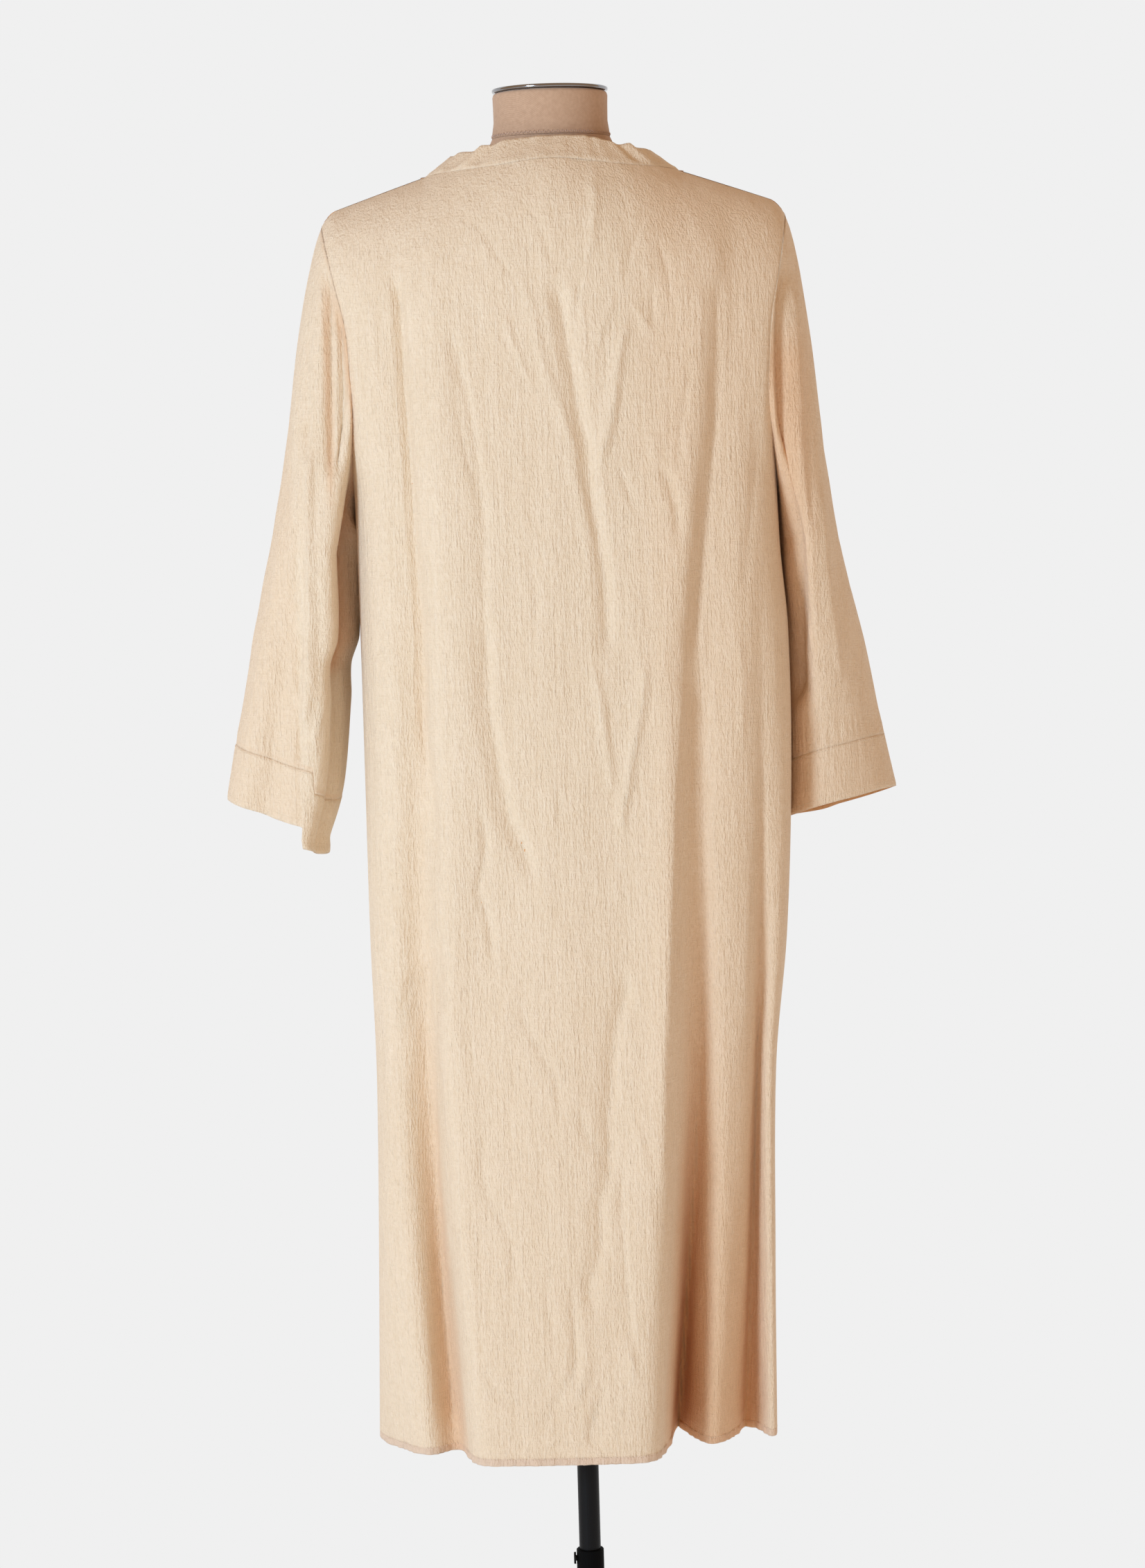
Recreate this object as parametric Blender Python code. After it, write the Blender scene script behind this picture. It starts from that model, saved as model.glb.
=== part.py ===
"""Maxi dress in crinkled cotton on a limbless dress form with a pole stand.

Metres, +Z up. The origin is the middle of the base's underside, on the floor.
The garment's back faces -Y and its front +Y, so left in the names is -X.
Every cloth piece is a wall: a grid of outer points and the same grid moved inward.
"""
import bisect
import math

import bpy
import bmesh
from mathutils import Vector

# Cloth
CLOTH = 0.002            # wall of each cut piece
SEAM_GAP = 0.0003        # between pieces that are sewn together
HEM_Z = 0.413
UNDERARM_Z = 1.385

# Shoulders: a ridge line over the form, and a roof that falls from it to the chest
NECK_POINT_X = 0.128     # where the shoulder line meets the collar
NECK_POINT_Z = 1.700
NECK_RISE = 0.580        # slope of the ridge inside the neck point
NECK_ROUND = 0.040       # how widely it rounds over in the middle
SHOULDER_FALL = 0.337    # slope of the ridge outside it
TIP_ROUND_X = 0.215      # from here the ridge rounds over the shoulder tip
TIP_ROUND = 36.0
TIP_Z = 1.656            # where the armhole seam crosses the shoulder line
ROOF_DROP = 0.155
ROOF_SQUARENESS = 2.4
ARMHOLE_SIDE = 0.64      # share of the half depth that is left where the armhole is cut

# Necklines, as reached from the neck point
BACK_NECK_Y = 0.090
NECK_TURN = 0.05         # from the neck point, over which the cloth's edge turns to face the seam
FRONT_NECK_DROP = 0.145
FRONT_NECK_CURVE = 1.2
BAND_WIDTH = 0.033
BAND_SEAM = 1.5 * SEAM_GAP
# Lean of the collar band towards the middle, forward and up, by its place
BAND_AT_BACK = (0.0, 0.70, 0.71)
BAND_AT_SIDE = (0.80, 0.0, 0.60)
BAND_AT_FRONT = (0.76, -0.06, 0.65)
BAND_AT_NOTCH = (0.0, -0.10, 1.30)
BAND_NOTCH_X = 0.030     # half width of the front notch's rounding

# Height of each section, its half widths, its half depths and how square it is. Above
# the underarm the armhole cuts the section before it reaches its full width.
SECTIONS = (
    # z      left    right   back    front   squareness
    (1.700, 0.2800, 0.2800, 0.1150, 0.1180, 2.50),
    (1.656, 0.2710, 0.2710, 0.1155, 0.1190, 2.50),
    (1.600, 0.2570, 0.2600, 0.1160, 0.1210, 2.50),
    (1.550, 0.2422, 0.2471, 0.1165, 0.1225, 2.55),
    (1.500, 0.2359, 0.2408, 0.1170, 0.1240, 2.62),
    (1.450, 0.2215, 0.2275, 0.1170, 0.1260, 2.85),
    (1.420, 0.2125, 0.2200, 0.1170, 0.1275, 3.05),
    (1.400, 0.2085, 0.2175, 0.1170, 0.1280, 3.15),
    (1.385, 0.2070, 0.2170, 0.1170, 0.1285, 3.20),
    (1.320, 0.2062, 0.2190, 0.1162, 0.1285, 3.12),
    (1.240, 0.2055, 0.2250, 0.1150, 0.1280, 3.05),
    (1.100, 0.2055, 0.2250, 0.1120, 0.1250, 2.95),
    (0.935, 0.2055, 0.2170, 0.1080, 0.1210, 2.85),
    (0.800, 0.2035, 0.2030, 0.1040, 0.1170, 2.75),
    (0.600, 0.2080, 0.1980, 0.1000, 0.1130, 2.60),
    (0.413, 0.2150, 0.1960, 0.0980, 0.1110, 2.50),
)

# How far each side seam swings to the front
SIDE_SWAY = (
    # z     left    right
    (1.00, 0.000, 0.000),
    (0.70, 0.006, 0.004),
    (0.55, 0.020, 0.012),
    (0.413, 0.055, 0.020),
)

# Long folds, each with its place and inward depth at four heights and the reach of its sides
FOLD_HEIGHTS = (1.60, 1.20, 0.80, 0.413)
BACK_FOLDS = (
    # name                    places                            depths                          left   right
    ("left valley",          (-0.158, -0.146, -0.158, -0.130), (0.004, 0.016, 0.036, 0.062), 0.024, 0.013),
    ("left ridge",           (-0.120, -0.115, -0.128, -0.100), (-0.002, -0.006, -0.007, -0.004), 0.016, 0.030),
    ("middle fullness",      (0.000, -0.010, -0.020, -0.020), (-0.002, -0.005, -0.007, -0.006), 0.080, 0.080),
    ("right ridge",          (0.156, 0.112, 0.086, 0.052), (-0.003, -0.006, -0.008, -0.004), 0.030, 0.014),
    ("right valley",         (0.174, 0.136, 0.126, 0.096), (0.004, 0.016, 0.050, 0.108), 0.017, 0.026),
    ("right hollow",         (0.190, 0.180, 0.175, 0.165), (0.000, 0.004, 0.022, 0.066), 0.045, 0.050),
    ("far right valley",     (0.200, 0.195, 0.183, 0.163), (0.000, 0.002, 0.014, 0.016), 0.010, 0.012),
)
FRONT_FOLDS = (
    ("left valley",          (-0.150, -0.142, -0.140, -0.128), (0.003, 0.012, 0.026, 0.040), 0.022, 0.016),
    ("inner left valley",    (-0.070, -0.066, -0.060, -0.050), (0.000, 0.008, 0.022, 0.040), 0.018, 0.024),
    ("middle fullness",      (0.000, 0.000, 0.010, 0.012), (0.000, -0.004, -0.006, -0.006), 0.030, 0.030),
    ("inner right valley",   (0.072, 0.066, 0.058, 0.052), (0.000, 0.006, 0.018, 0.030), 0.016, 0.018),
    ("right valley",         (0.156, 0.150, 0.158, 0.160), (0.003, 0.010, 0.018, 0.026), 0.018, 0.018),
)

# Slanted creases between two places on a panel, the deepest ones only
BACK_CREASES = (
    # name               from x, z        to x, z        reach   depth
    ("upper slant",     (-0.030, 1.590), (0.022, 1.390), 0.012, 0.0050),
    ("lower slant",     (0.022, 1.390), (0.038, 1.235), 0.010, 0.0035),
    ("ridge to right",  (0.072, 1.550), (0.028, 1.400), 0.010, -0.0040),
    ("long trough",     (-0.082, 1.260), (-0.040, 1.000), 0.013, 0.0045),
    ("waist slant",     (0.080, 1.235), (0.058, 1.060), 0.012, 0.0035),
)
FRONT_CREASES = (
    ("left slant",      (-0.110, 1.480), (-0.050, 1.260), 0.014, 0.0045),
    ("right slant",     (0.100, 1.460), (0.060, 1.240), 0.014, 0.0045),
)

# Sleeves: half of each section is given by its outer, inner, back and front reach
SLEEVE_SECTIONS = {
    "left": (
        # z      outer   inner   back     front
        (1.330, 0.2945, 0.2150, -0.0820, 0.0780),
        (1.220, 0.3190, 0.2170, -0.0700, 0.0760),
        (1.130, 0.3380, 0.2220, -0.0580, 0.0680),
        (1.040, 0.3540, 0.2280, -0.0500, 0.0600),
    ),
    "right": (
        (1.330, 0.2790, 0.2230, -0.0680, 0.0860),
        (1.220, 0.3060, 0.2280, -0.0400, 0.0980),
        (1.130, 0.3250, 0.2260, -0.0140, 0.1040),
        (1.040, 0.3440, 0.2250, -0.0040, 0.1040),
    ),
}
SLEEVE_TOP_BULGE = 0.0058 # how far the sleeve's head stands out beside the armhole
ARMHOLE_SEAM = 1.5 * SEAM_GAP
SLEEVE_SQUARENESS = 2.2
# Folds round each sleeve: turn from the outer side in degrees, reach, inward depth above and below
SLEEVE_FOLDS = {
    "left": (
        # name            turn    reach   above    below
        ("back ridge",    118.0,  20.0,  -0.0040, -0.0080),
        ("back hollow",    78.0,  22.0,   0.0040,  0.0120),
        ("front valley",  235.0,  20.0,   0.0040,  0.0100),
    ),
    "right": (
        ("back hollow",    60.0,  24.0,   0.0030,  0.0060),
        ("back ridge",    100.0,  22.0,  -0.0020, -0.0040),
        ("front valley",  250.0,  20.0,   0.0040,  0.0100),
    ),
}
# Height of the cuff seam under the sleeve's middle, and how much it rises outward
CUFF_SEAM_Z = {"left": 1.120, "right": 1.122}
CUFF_TILT = {"left": 0.34, "right": 0.21}
CUFF_DEPTH = 0.056

# How finely the grids are cut
SHOULDER_ROWS = 12       # from the top edge to the underarm
SKIRT_ROWS = 14          # from the underarm to the hem
SHOULDER_COLUMNS = 5     # along each shoulder line
BACK_NECK_COLUMNS = 32
FRONT_NECK_COLUMNS = 20
SECTION_SAMPLES = 160    # along a section, to measure its cloth
THREAD_TURN_LOW = 1.12   # between these heights the threads make room for the armhole
THREAD_TURN_HIGH = 1.58
EDGE_STRETCH = 4.0
ARMHOLE_FAN_ROWS = 6
SLEEVE_ROWS = 8
CUFF_ROWS = 2
BAND_ROWS = 2

# Dress form
FORM_GAP = 0.0004        # between the cloth and the form that carries it
NECK_SEAM_Z = 1.7370
NECK_TOP_Z = 1.7820
NECK_SECTIONS = (
    # share of the height, half width, half depth
    (0.00, 0.0590, 0.0560),
    (0.35, 0.0570, 0.0550),
    (0.90, 0.0575, 0.0560),
    (1.00, 0.0550, 0.0535),
)
NECK_FOOT_WIDTH = 0.0640
NECK_FOOT_DEPTH = 0.0600
CAP_RADIUS = 0.0580
CAP_THICKNESS = 0.0035
CAP_EDGE = 0.0008
CAP_SIDES = 40
FORM_BODY_GAP = 0.0080   # more room under the cloth away from the shoulder ridge
FORM_COLLAR_GAP = 0.0020 # and under the collar band
FORM_SHOULDER_X = 0.192
FORM_BACK_ROOF = 0.083
FORM_FRONT_ROOF = 0.084
FORM_SECTIONS = (
    # z      half width, back, front
    (1.480, 0.164, 0.090, 0.099),
    (1.400, 0.156, 0.089, 0.105),
    (1.300, 0.142, 0.088, 0.098),
    (1.210, 0.130, 0.082, 0.088),
    (1.120, 0.150, 0.088, 0.094),
    (1.040, 0.168, 0.094, 0.098),
)
FORM_SIDES = 28
FORM_SHOULDER_RINGS = 6  # from the neck's foot out; the middle one passes under the neck point
FORM_CHEST_RINGS = 3
FORM_LEVELS = 9
FORM_SQUARENESS = 2.3
FORM_BOTTOM_RIM = 0.008

# Pole and base
POLE_RADIUS = 0.011
POLE_WALL = 0.0015
POLE_BOTTOM_Z = 0.200
OUTER_TUBE_RADIUS = 0.014
OUTER_TUBE_BORE = 0.0115
OUTER_TUBE_TOP = 0.300
OUTER_TUBE_EDGE = 0.0008
SOCKET_RADIUS = 0.034
SOCKET_FOOT_RADIUS = 0.015
SOCKET_HEIGHT = 0.010
SOCKET_SLOPE = 0.006
BOSS_RADIUS = 0.030
BOSS_TOP_Z = 0.026
BOSS_FLARE = 0.002
BASE_RADIUS = 0.175
BASE_THICKNESS = 0.014
BASE_EDGE = 0.004
BASE_SIDES = 48
SCREW_Z = 0.290
SCREW_RADIUS = 0.0030
SCREW_HEAD_RADIUS = 0.0062
SCREW_HEAD_THICKNESS = 0.0022
SCREW_HEAD_EDGE = 0.0006
SCREW_HEAD_STANDOFF = 0.0007
SCREW_HOLE_RADIUS = 0.0034
SCREW_SIDES = 20
ROUND_SIDES = 32


def clear_scene():
    for old in list(bpy.data.objects):
        bpy.data.objects.remove(old, do_unlink=True)


def finish(name, colour, roughness, metallic=0.0):
    material = bpy.data.materials.new(name)
    material.use_nodes = True
    shader = material.node_tree.nodes["Principled BSDF"]
    shader.inputs["Base Color"].default_value = (*colour, 1.0)
    shader.inputs["Roughness"].default_value = roughness
    shader.inputs["Metallic"].default_value = metallic
    return material


def ease(t):
    """0 below 0, 1 above 1, and a soft step between."""
    t = min(1.0, max(0.0, t))
    return t * t * (3.0 - 2.0 * t)


def mix(a, b, t):
    return a + (b - a) * t


def at_height(rows, z, column):
    """A smooth curve through one column of a table whose first column is the height."""
    rows = sorted(rows)
    heights = [row[0] for row in rows]
    values = [row[column] for row in rows]
    if z <= heights[0]:
        return values[0]
    if z >= heights[-1]:
        return values[-1]
    i = bisect.bisect_right(heights, z) - 1
    span = heights[i + 1] - heights[i]
    t = (z - heights[i]) / span

    def slope(k):
        low, high = max(0, k - 1), min(len(rows) - 1, k + 1)
        return (values[high] - values[low]) / (heights[high] - heights[low])

    return ((2 * t ** 3 - 3 * t ** 2 + 1) * values[i] + (t ** 3 - 2 * t ** 2 + t) * span * slope(i)
            + (3 * t ** 2 - 2 * t ** 3) * values[i + 1] + (t ** 3 - t ** 2) * span * slope(i + 1))


def curve_value(places, values, place):
    """The value at a place on a line through rising places."""
    k = min(len(places) - 2, max(0, bisect.bisect_right(places, place) - 1))
    share = (place - places[k]) / (places[k + 1] - places[k])
    return mix(values[k], values[k + 1], min(1.0, max(0.0, share)))


def ridge(x):
    """Height of the shoulder ridge over x, under the collar too."""
    x = abs(x)
    if x < NECK_POINT_X:
        return NECK_POINT_Z + NECK_RISE * (math.hypot(NECK_POINT_X, NECK_ROUND) - math.hypot(x, NECK_ROUND))
    return NECK_POINT_Z - SHOULDER_FALL * (x - NECK_POINT_X) - TIP_ROUND * max(0.0, x - TIP_ROUND_X) ** 2


def roof(fall):
    """Share of the half depth that is reached after falling this share of the roof."""
    fall = min(1.0, max(0.0, fall))
    return (1.0 - (1.0 - fall) ** ROOF_SQUARENESS) ** (1.0 / ROOF_SQUARENESS)


def roof_fall(share):
    """The inverse of roof."""
    share = min(1.0, max(0.0, share))
    return 1.0 - (1.0 - share ** ROOF_SQUARENESS) ** (1.0 / ROOF_SQUARENESS)


ARMHOLE_MID_Z = TIP_Z - ROOF_DROP


def edge_share(z):
    """Share of the half depth at the panel's edge: 0 on the side seam, more at the armhole."""
    if z <= UNDERARM_Z:
        return 0.0
    if z >= ARMHOLE_MID_Z:
        return ARMHOLE_SIDE
    down = (ARMHOLE_MID_Z - z) / (ARMHOLE_MID_Z - UNDERARM_Z)
    return ARMHOLE_SIDE * math.sqrt(max(0.0, 1.0 - down * down))


def full_width(side, z):
    """Half width of the whole section, side -1 for left and 1 for right."""
    return at_height(SECTIONS, z, 1 if side < 0 else 2)


def share_x(side, z, share):
    """Distance from the middle of the place where this share of the half depth is left."""
    n = at_height(SECTIONS, z, 5)
    return full_width(side, z) * (1.0 - share ** n) ** (1.0 / n)


def edge_x(side, z):
    """Distance of the panel's edge from the middle: the side seam, or the armhole above it."""
    return share_x(side, z, edge_share(z))


def side_share(x, z):
    n = at_height(SECTIONS, z, 5)
    reach = min(1.0, abs(x) / full_width(-1 if x < 0 else 1, z))
    return (1.0 - reach ** n) ** (1.0 / n)


def fold_value(values, z):
    return at_height([(height, value) for height, value in zip(FOLD_HEIGHTS, values)], z, 1)


def soft_bump(distance, left, right):
    """1 at 0, falling to 0 over the left or the right reach."""
    return math.exp(-(distance / (left if distance < 0 else right)) ** 2)


def crease(x, z, start, end, reach):
    """1 along the line from start to end, falling softly beside it and at its ends."""
    run = (end[0] - start[0], end[1] - start[1])
    length = math.hypot(*run)
    along = ((x - start[0]) * run[0] + (z - start[1]) * run[1]) / (length * length)
    across = ((x - start[0]) * run[1] - (z - start[1]) * run[0]) / length
    return math.exp(-(across / reach) ** 2) * ease(along / 0.3 + 0.4) * ease((1.0 - along) / 0.3 + 0.4)


def fold_depth(x, z, folds, creases):
    """Inward depth of every fold at a place on a panel, fading at the panel's edges."""
    side = -1 if x < 0 else 1
    edge_fade = ease((edge_x(side, z) - abs(x)) / 0.022)
    top_fade = ease((ridge(x) - z) / 0.09)
    depth = 0.0
    for _, places, depths, left, right in folds:
        depth += fold_value(depths, z) * soft_bump(x - fold_value(places, z), left, right)
    for _, start, end, reach, amount in creases:
        depth += amount * crease(x, z, start, end, reach)
    return depth * edge_fade * top_fade


def sway(x, z):
    side_column = 1 if x < 0 else 2
    reach = abs(x) / edge_x(-1 if x < 0 else 1, z)
    return at_height(SIDE_SWAY, z, side_column) * ease((reach - 0.55) / 0.45)


def panel_y(x, z, facing):
    """The cloth's outer face at x, z: facing -1 for the back panel and 1 for the front."""
    depth_column, folds, creases = (3, BACK_FOLDS, BACK_CREASES) if facing < 0 else (4, FRONT_FOLDS, FRONT_CREASES)
    depth = at_height(SECTIONS, z, depth_column) * side_share(x, z) * roof((ridge(x) - z) / ROOF_DROP)
    return facing * (depth - fold_depth(x, z, folds, creases)) + sway(x, z)


def neckline(facing, t):
    """The neckline seam from a neck point, t 0, to the middle, t 1, as x and z."""
    if facing > 0:
        return NECK_POINT_X * (1.0 - t ** FRONT_NECK_CURVE), NECK_POINT_Z - FRONT_NECK_DROP * t
    turn = t * math.pi / 2
    x = NECK_POINT_X * math.cos(turn)
    y = BACK_NECK_Y * math.sin(turn)
    depth = at_height(SECTIONS, NECK_POINT_Z, 3) * side_share(x, NECK_POINT_Z)
    return x, ridge(x) - ROOF_DROP * roof_fall(y / depth)


def top_edge(facing, neck_columns):
    """The panel's top edge from left to right as x and z: shoulder, neckline, shoulder."""
    half = neck_columns // 2
    tip_x = edge_x(-1, TIP_Z)
    shoulder = [mix(tip_x, NECK_POINT_X, k / SHOULDER_COLUMNS) for k in range(SHOULDER_COLUMNS)]
    left = [(-x, ridge(x)) for x in shoulder]
    neck = [neckline(facing, k / half) for k in range(half + 1)]
    left += [(-x, z) for x, z in neck]
    return left + [(-x, z) for x, z in reversed(left[:-1])]


def section_threads(level, edge_level, facing, count):
    """x of count + 1 threads across the cloth's section at this height.

    They lie evenly along the cloth, and the outer ones make up for the armhole's cut.
    """
    left, right = full_width(-1, level), full_width(1, level)
    xs = [mix(-left, right, 0.5 - 0.5 * math.cos(math.pi * k / SECTION_SAMPLES)) for k in range(SECTION_SAMPLES + 1)]
    ys = [panel_y(x, level, facing) for x in xs]
    lengths = [0.0]
    for k in range(SECTION_SAMPLES):
        lengths.append(lengths[-1] + math.hypot(xs[k + 1] - xs[k], ys[k + 1] - ys[k]))
    middle = curve_value(xs, lengths, 0.0)
    inner_share = ARMHOLE_SIDE * ease((level - THREAD_TURN_LOW) / (THREAD_TURN_HIGH - THREAD_TURN_LOW))
    reach = {}
    for side in (-1, 1):
        inner = curve_value(xs, lengths, side * share_x(side, level, inner_share)) - middle
        edge = curve_value(xs, lengths, side * share_x(side, level, edge_share(edge_level))) - middle
        reach[side] = (inner, edge)
    result = []
    for n in range(count + 1):
        out = 2.0 * n / count - 1.0
        inner, edge = reach[-1 if out < 0 else 1]
        along = abs(out) * inner + (edge - inner) * abs(out) ** EDGE_STRETCH
        result.append(curve_value(lengths, xs, middle + along))
    return result


def panel_grid(facing, neck_columns):
    """Outer points of the back or front panel, row by row from the top edge to the hem."""
    top = top_edge(facing, neck_columns)
    count = len(top) - 1
    rows = [[Vector((x, panel_y(x, z, facing) if abs(x) < NECK_POINT_X - 1e-6 else 0.0, z)) for x, z in top]]
    for r in range(1, SHOULDER_ROWS + SKIRT_ROWS + 1):
        if r <= SHOULDER_ROWS:
            middle_fall = (r / SHOULDER_ROWS) ** 1.5
            edge_fall = 0.5 - 0.5 * math.cos(math.pi * r / SHOULDER_ROWS)
            level = mix(top[count // 2][1], UNDERARM_Z, middle_fall)
            thread_share = ease(r / (0.6 * SHOULDER_ROWS))
        else:
            level = mix(UNDERARM_Z, HEM_Z, (r - SHOULDER_ROWS) / SKIRT_ROWS)
            thread_share = 1.0
        edge_level = mix(TIP_Z, UNDERARM_Z, edge_fall) if r <= SHOULDER_ROWS else level
        threads = section_threads(level, edge_level, facing, count)
        row = []
        for c in range(count + 1):
            side = -1 if c < count / 2 else 1
            near_edge = abs(2.0 * c / count - 1.0) ** 4
            if r <= SHOULDER_ROWS:
                z = mix(top[c][1], UNDERARM_Z, mix(middle_fall, edge_fall, near_edge))
            else:
                z = level
            own_thread = threads[c] / full_width(side, level) * full_width(side, z)
            from_top = top[c][0] / edge_x(side, TIP_Z) * edge_x(side, z)
            x = mix(from_top, own_thread, thread_share)
            if c in (0, count):
                z = edge_level
                x = side * edge_x(side, z)
            row.append(Vector((x, panel_y(x, z, facing), z)))
        rows.append(row)
    for row in rows:
        for point in row:
            point.y += facing * SEAM_GAP / 2
    return rows


def grid_normals(rows, ring):
    """A unit normal at each point of a grid, from its neighbours."""
    height, width = len(rows), len(rows[0])
    result = []
    for r in range(height):
        line = []
        for c in range(width):
            if ring:
                across = rows[r][(c + 1) % width] - rows[r][c - 1]
            else:
                across = rows[r][min(width - 1, c + 1)] - rows[r][max(0, c - 1)]
            down = rows[min(height - 1, r + 1)][c] - rows[max(0, r - 1)][c]
            line.append(across.cross(down).normalized())
        result.append(line)
    return result


def make_object(name, points, faces, material):
    mesh = bpy.data.meshes.new(name)
    mesh.from_pydata([tuple(point) for point in points], [], faces)
    bm = bmesh.new()
    bm.from_mesh(mesh)
    bmesh.ops.recalc_face_normals(bm, faces=bm.faces)
    if bm.calc_volume(signed=True) < 0:
        bmesh.ops.reverse_faces(bm, faces=bm.faces)
    bm.to_mesh(mesh)
    bm.free()
    mesh.materials.append(material)
    mesh.shade_smooth()
    mesh.set_sharp_from_angle(angle=math.radians(40))
    piece = bpy.data.objects.new(name, mesh)
    bpy.context.collection.objects.link(piece)
    return piece


def wall(name, rows, inward, ring, material):
    """A closed wall between a grid of outer points and the same grid moved inward."""
    height, width = len(rows), len(rows[0])
    outer = [point for row in rows for point in row]
    inner = [rows[r][c] + inward[r][c] * CLOTH for r in range(height) for c in range(width)]
    shift = len(outer)
    across = width if ring else width - 1
    faces = []

    def corner(r, c):
        return r * width + c % width

    for r in range(height - 1):
        for c in range(across):
            quad = (corner(r, c), corner(r, c + 1), corner(r + 1, c + 1), corner(r + 1, c))
            faces.append(quad)
            faces.append(tuple(shift + k for k in reversed(quad)))
    for r in (0, height - 1):
        for c in range(across):
            faces.append((corner(r, c), corner(r, c + 1), shift + corner(r, c + 1), shift + corner(r, c)))
    if not ring:
        for c in (0, width - 1):
            for r in range(height - 1):
                faces.append((corner(r, c), corner(r + 1, c), shift + corner(r + 1, c), shift + corner(r, c)))
    return make_object(name, outer + inner, faces, material)


def build_panel(name, facing, neck_columns, material):
    rows = panel_grid(facing, neck_columns)
    inward = grid_normals(rows, False)
    down = Vector((0.0, 0.0, -1.0))
    for r, line in enumerate(inward):
        for c in range(len(line)):
            if line[c].y * facing > 0:
                line[c] = -line[c]
        for c, side in ((0, -1), (len(line) - 1, 1)):
            if r <= SHOULDER_ROWS:
                turn = math.pi * r / SHOULDER_ROWS
                line[c] = Vector((0.0, -facing * math.sin(turn), -math.cos(turn)))
            if r >= SHOULDER_ROWS:
                line[c] = Vector((-side, 0.0, 0.0))
    for c, point in enumerate(rows[0]):
        if abs(point.x) >= NECK_POINT_X - 1e-6:
            inward[0][c] = down
        else:
            lean = ease((NECK_POINT_X - abs(point.x)) / NECK_TURN)
            inward[0][c] = down.lerp(inward[0][c], lean).normalized()
    wall(name, rows, inward, False, material)
    return rows, inward[0]


def armhole_ring(side, back_rows, front_rows):
    """The seam ring from the shoulder tip down the back, and up the front."""
    c = 0 if side < 0 else -1
    back = [back_rows[r][c].copy() for r in range(SHOULDER_ROWS + 1)]
    front = [front_rows[r][c].copy() for r in range(SHOULDER_ROWS - 1, 0, -1)]
    ring = back + front
    for point in ring:
        point.x += side * ARMHOLE_SEAM
    ring[0].y = 0.0
    ring[SHOULDER_ROWS].y = 0.0
    return ring


def sleeve_point(side_name, z, turn):
    """A point of the sleeve's own section, turn in radians from the outer side to the back."""
    rows = SLEEVE_SECTIONS[side_name]
    outer, inner, back, front = (at_height(rows, z, column) for column in (1, 2, 3, 4))
    half_width, half_depth = (outer - inner) / 2, (front - back) / 2
    power = 2.0 / SLEEVE_SQUARENESS
    across = math.copysign(abs(math.cos(turn)) ** power, math.cos(turn))
    behind = math.copysign(abs(math.sin(turn)) ** power, math.sin(turn))
    down = (rows[0][0] - z) / (rows[0][0] - rows[-1][0])
    depth = 0.0
    for _, place, reach, above, below in SLEEVE_FOLDS[side_name]:
        away = (math.degrees(turn) - place + 180.0) % 360.0 - 180.0
        depth += mix(above, below, down) * math.exp(-(away / reach) ** 2)
    shrink = 1.0 - depth / min(half_width, half_depth)
    side = -1 if side_name == "left" else 1
    x = side * ((outer + inner) / 2 + across * half_width * shrink)
    y = (front + back) / 2 - behind * half_depth * shrink
    return Vector((x, y, z))


def sleeve_level(side_name, nominal, share, turn):
    """The height of a sleeve row under its tilt, at this turn."""
    rows = SLEEVE_SECTIONS[side_name]
    half_width = (at_height(rows, nominal, 1) - at_height(rows, nominal, 2)) / 2
    return nominal + CUFF_TILT[side_name] * share * half_width * math.cos(turn)


def sleeve_rows(side_name, back_rows, front_rows):
    """Rings of the sleeve from the armhole to the cuff seam, then those of the cuff."""
    side = -1 if side_name == "left" else 1
    ring = armhole_ring(side, back_rows, front_rows)
    count = len(ring)
    turns = [2.0 * math.pi * k / count for k in range(count)]
    first_z = SLEEVE_SECTIONS[side_name][0][0]
    landing = [sleeve_point(side_name, first_z, turn) for turn in turns]
    rows = [ring]
    for r in range(1, ARMHOLE_FAN_ROWS + 1):
        t = r / ARMHOLE_FAN_ROWS
        bulge = SLEEVE_TOP_BULGE * t * (1.0 - t) ** 3 * 10.0
        line = []
        for start, end, turn in zip(ring, landing, turns):
            point = start.lerp(end, t)
            point.x += side * bulge * max(0.0, math.cos(turn))
            line.append(point)
        rows.append(line)
    seam_z = CUFF_SEAM_Z[side_name]
    for r in range(1, SLEEVE_ROWS + 1):
        share = r / SLEEVE_ROWS
        nominal = mix(first_z, seam_z, share)
        rows.append([sleeve_point(side_name, sleeve_level(side_name, nominal, ease(share), turn), turn)
                     for turn in turns])
    cuff = []
    for r in range(CUFF_ROWS + 1):
        nominal = seam_z - SEAM_GAP - CUFF_DEPTH * r / CUFF_ROWS
        cuff.append([sleeve_point(side_name, sleeve_level(side_name, nominal, 1.0, turn), turn)
                     for turn in turns])
    return rows, cuff


def ring_middle(row):
    return sum(row, Vector()) / len(row)


def tube_inward(rows):
    """Inward directions of a tube's rings, away from the outer face."""
    normals = grid_normals(rows, True)
    inward = []
    for row, line in zip(rows, normals):
        middle = ring_middle(row)
        inward.append([n if n.dot(middle - p) > 0 else -n for p, n in zip(row, line)])
    return inward


def level_inward(rows, inward, r):
    """Makes one ring's directions lie in the ring's own plane, so that seams face each other."""
    row = rows[r]
    count = len(row)
    middle = ring_middle(row)
    plane = (row[0] - middle).cross(row[count // 4] - middle).normalized()
    inward[r] = [(d - plane * d.dot(plane)).normalized() for d in inward[r]]


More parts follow.
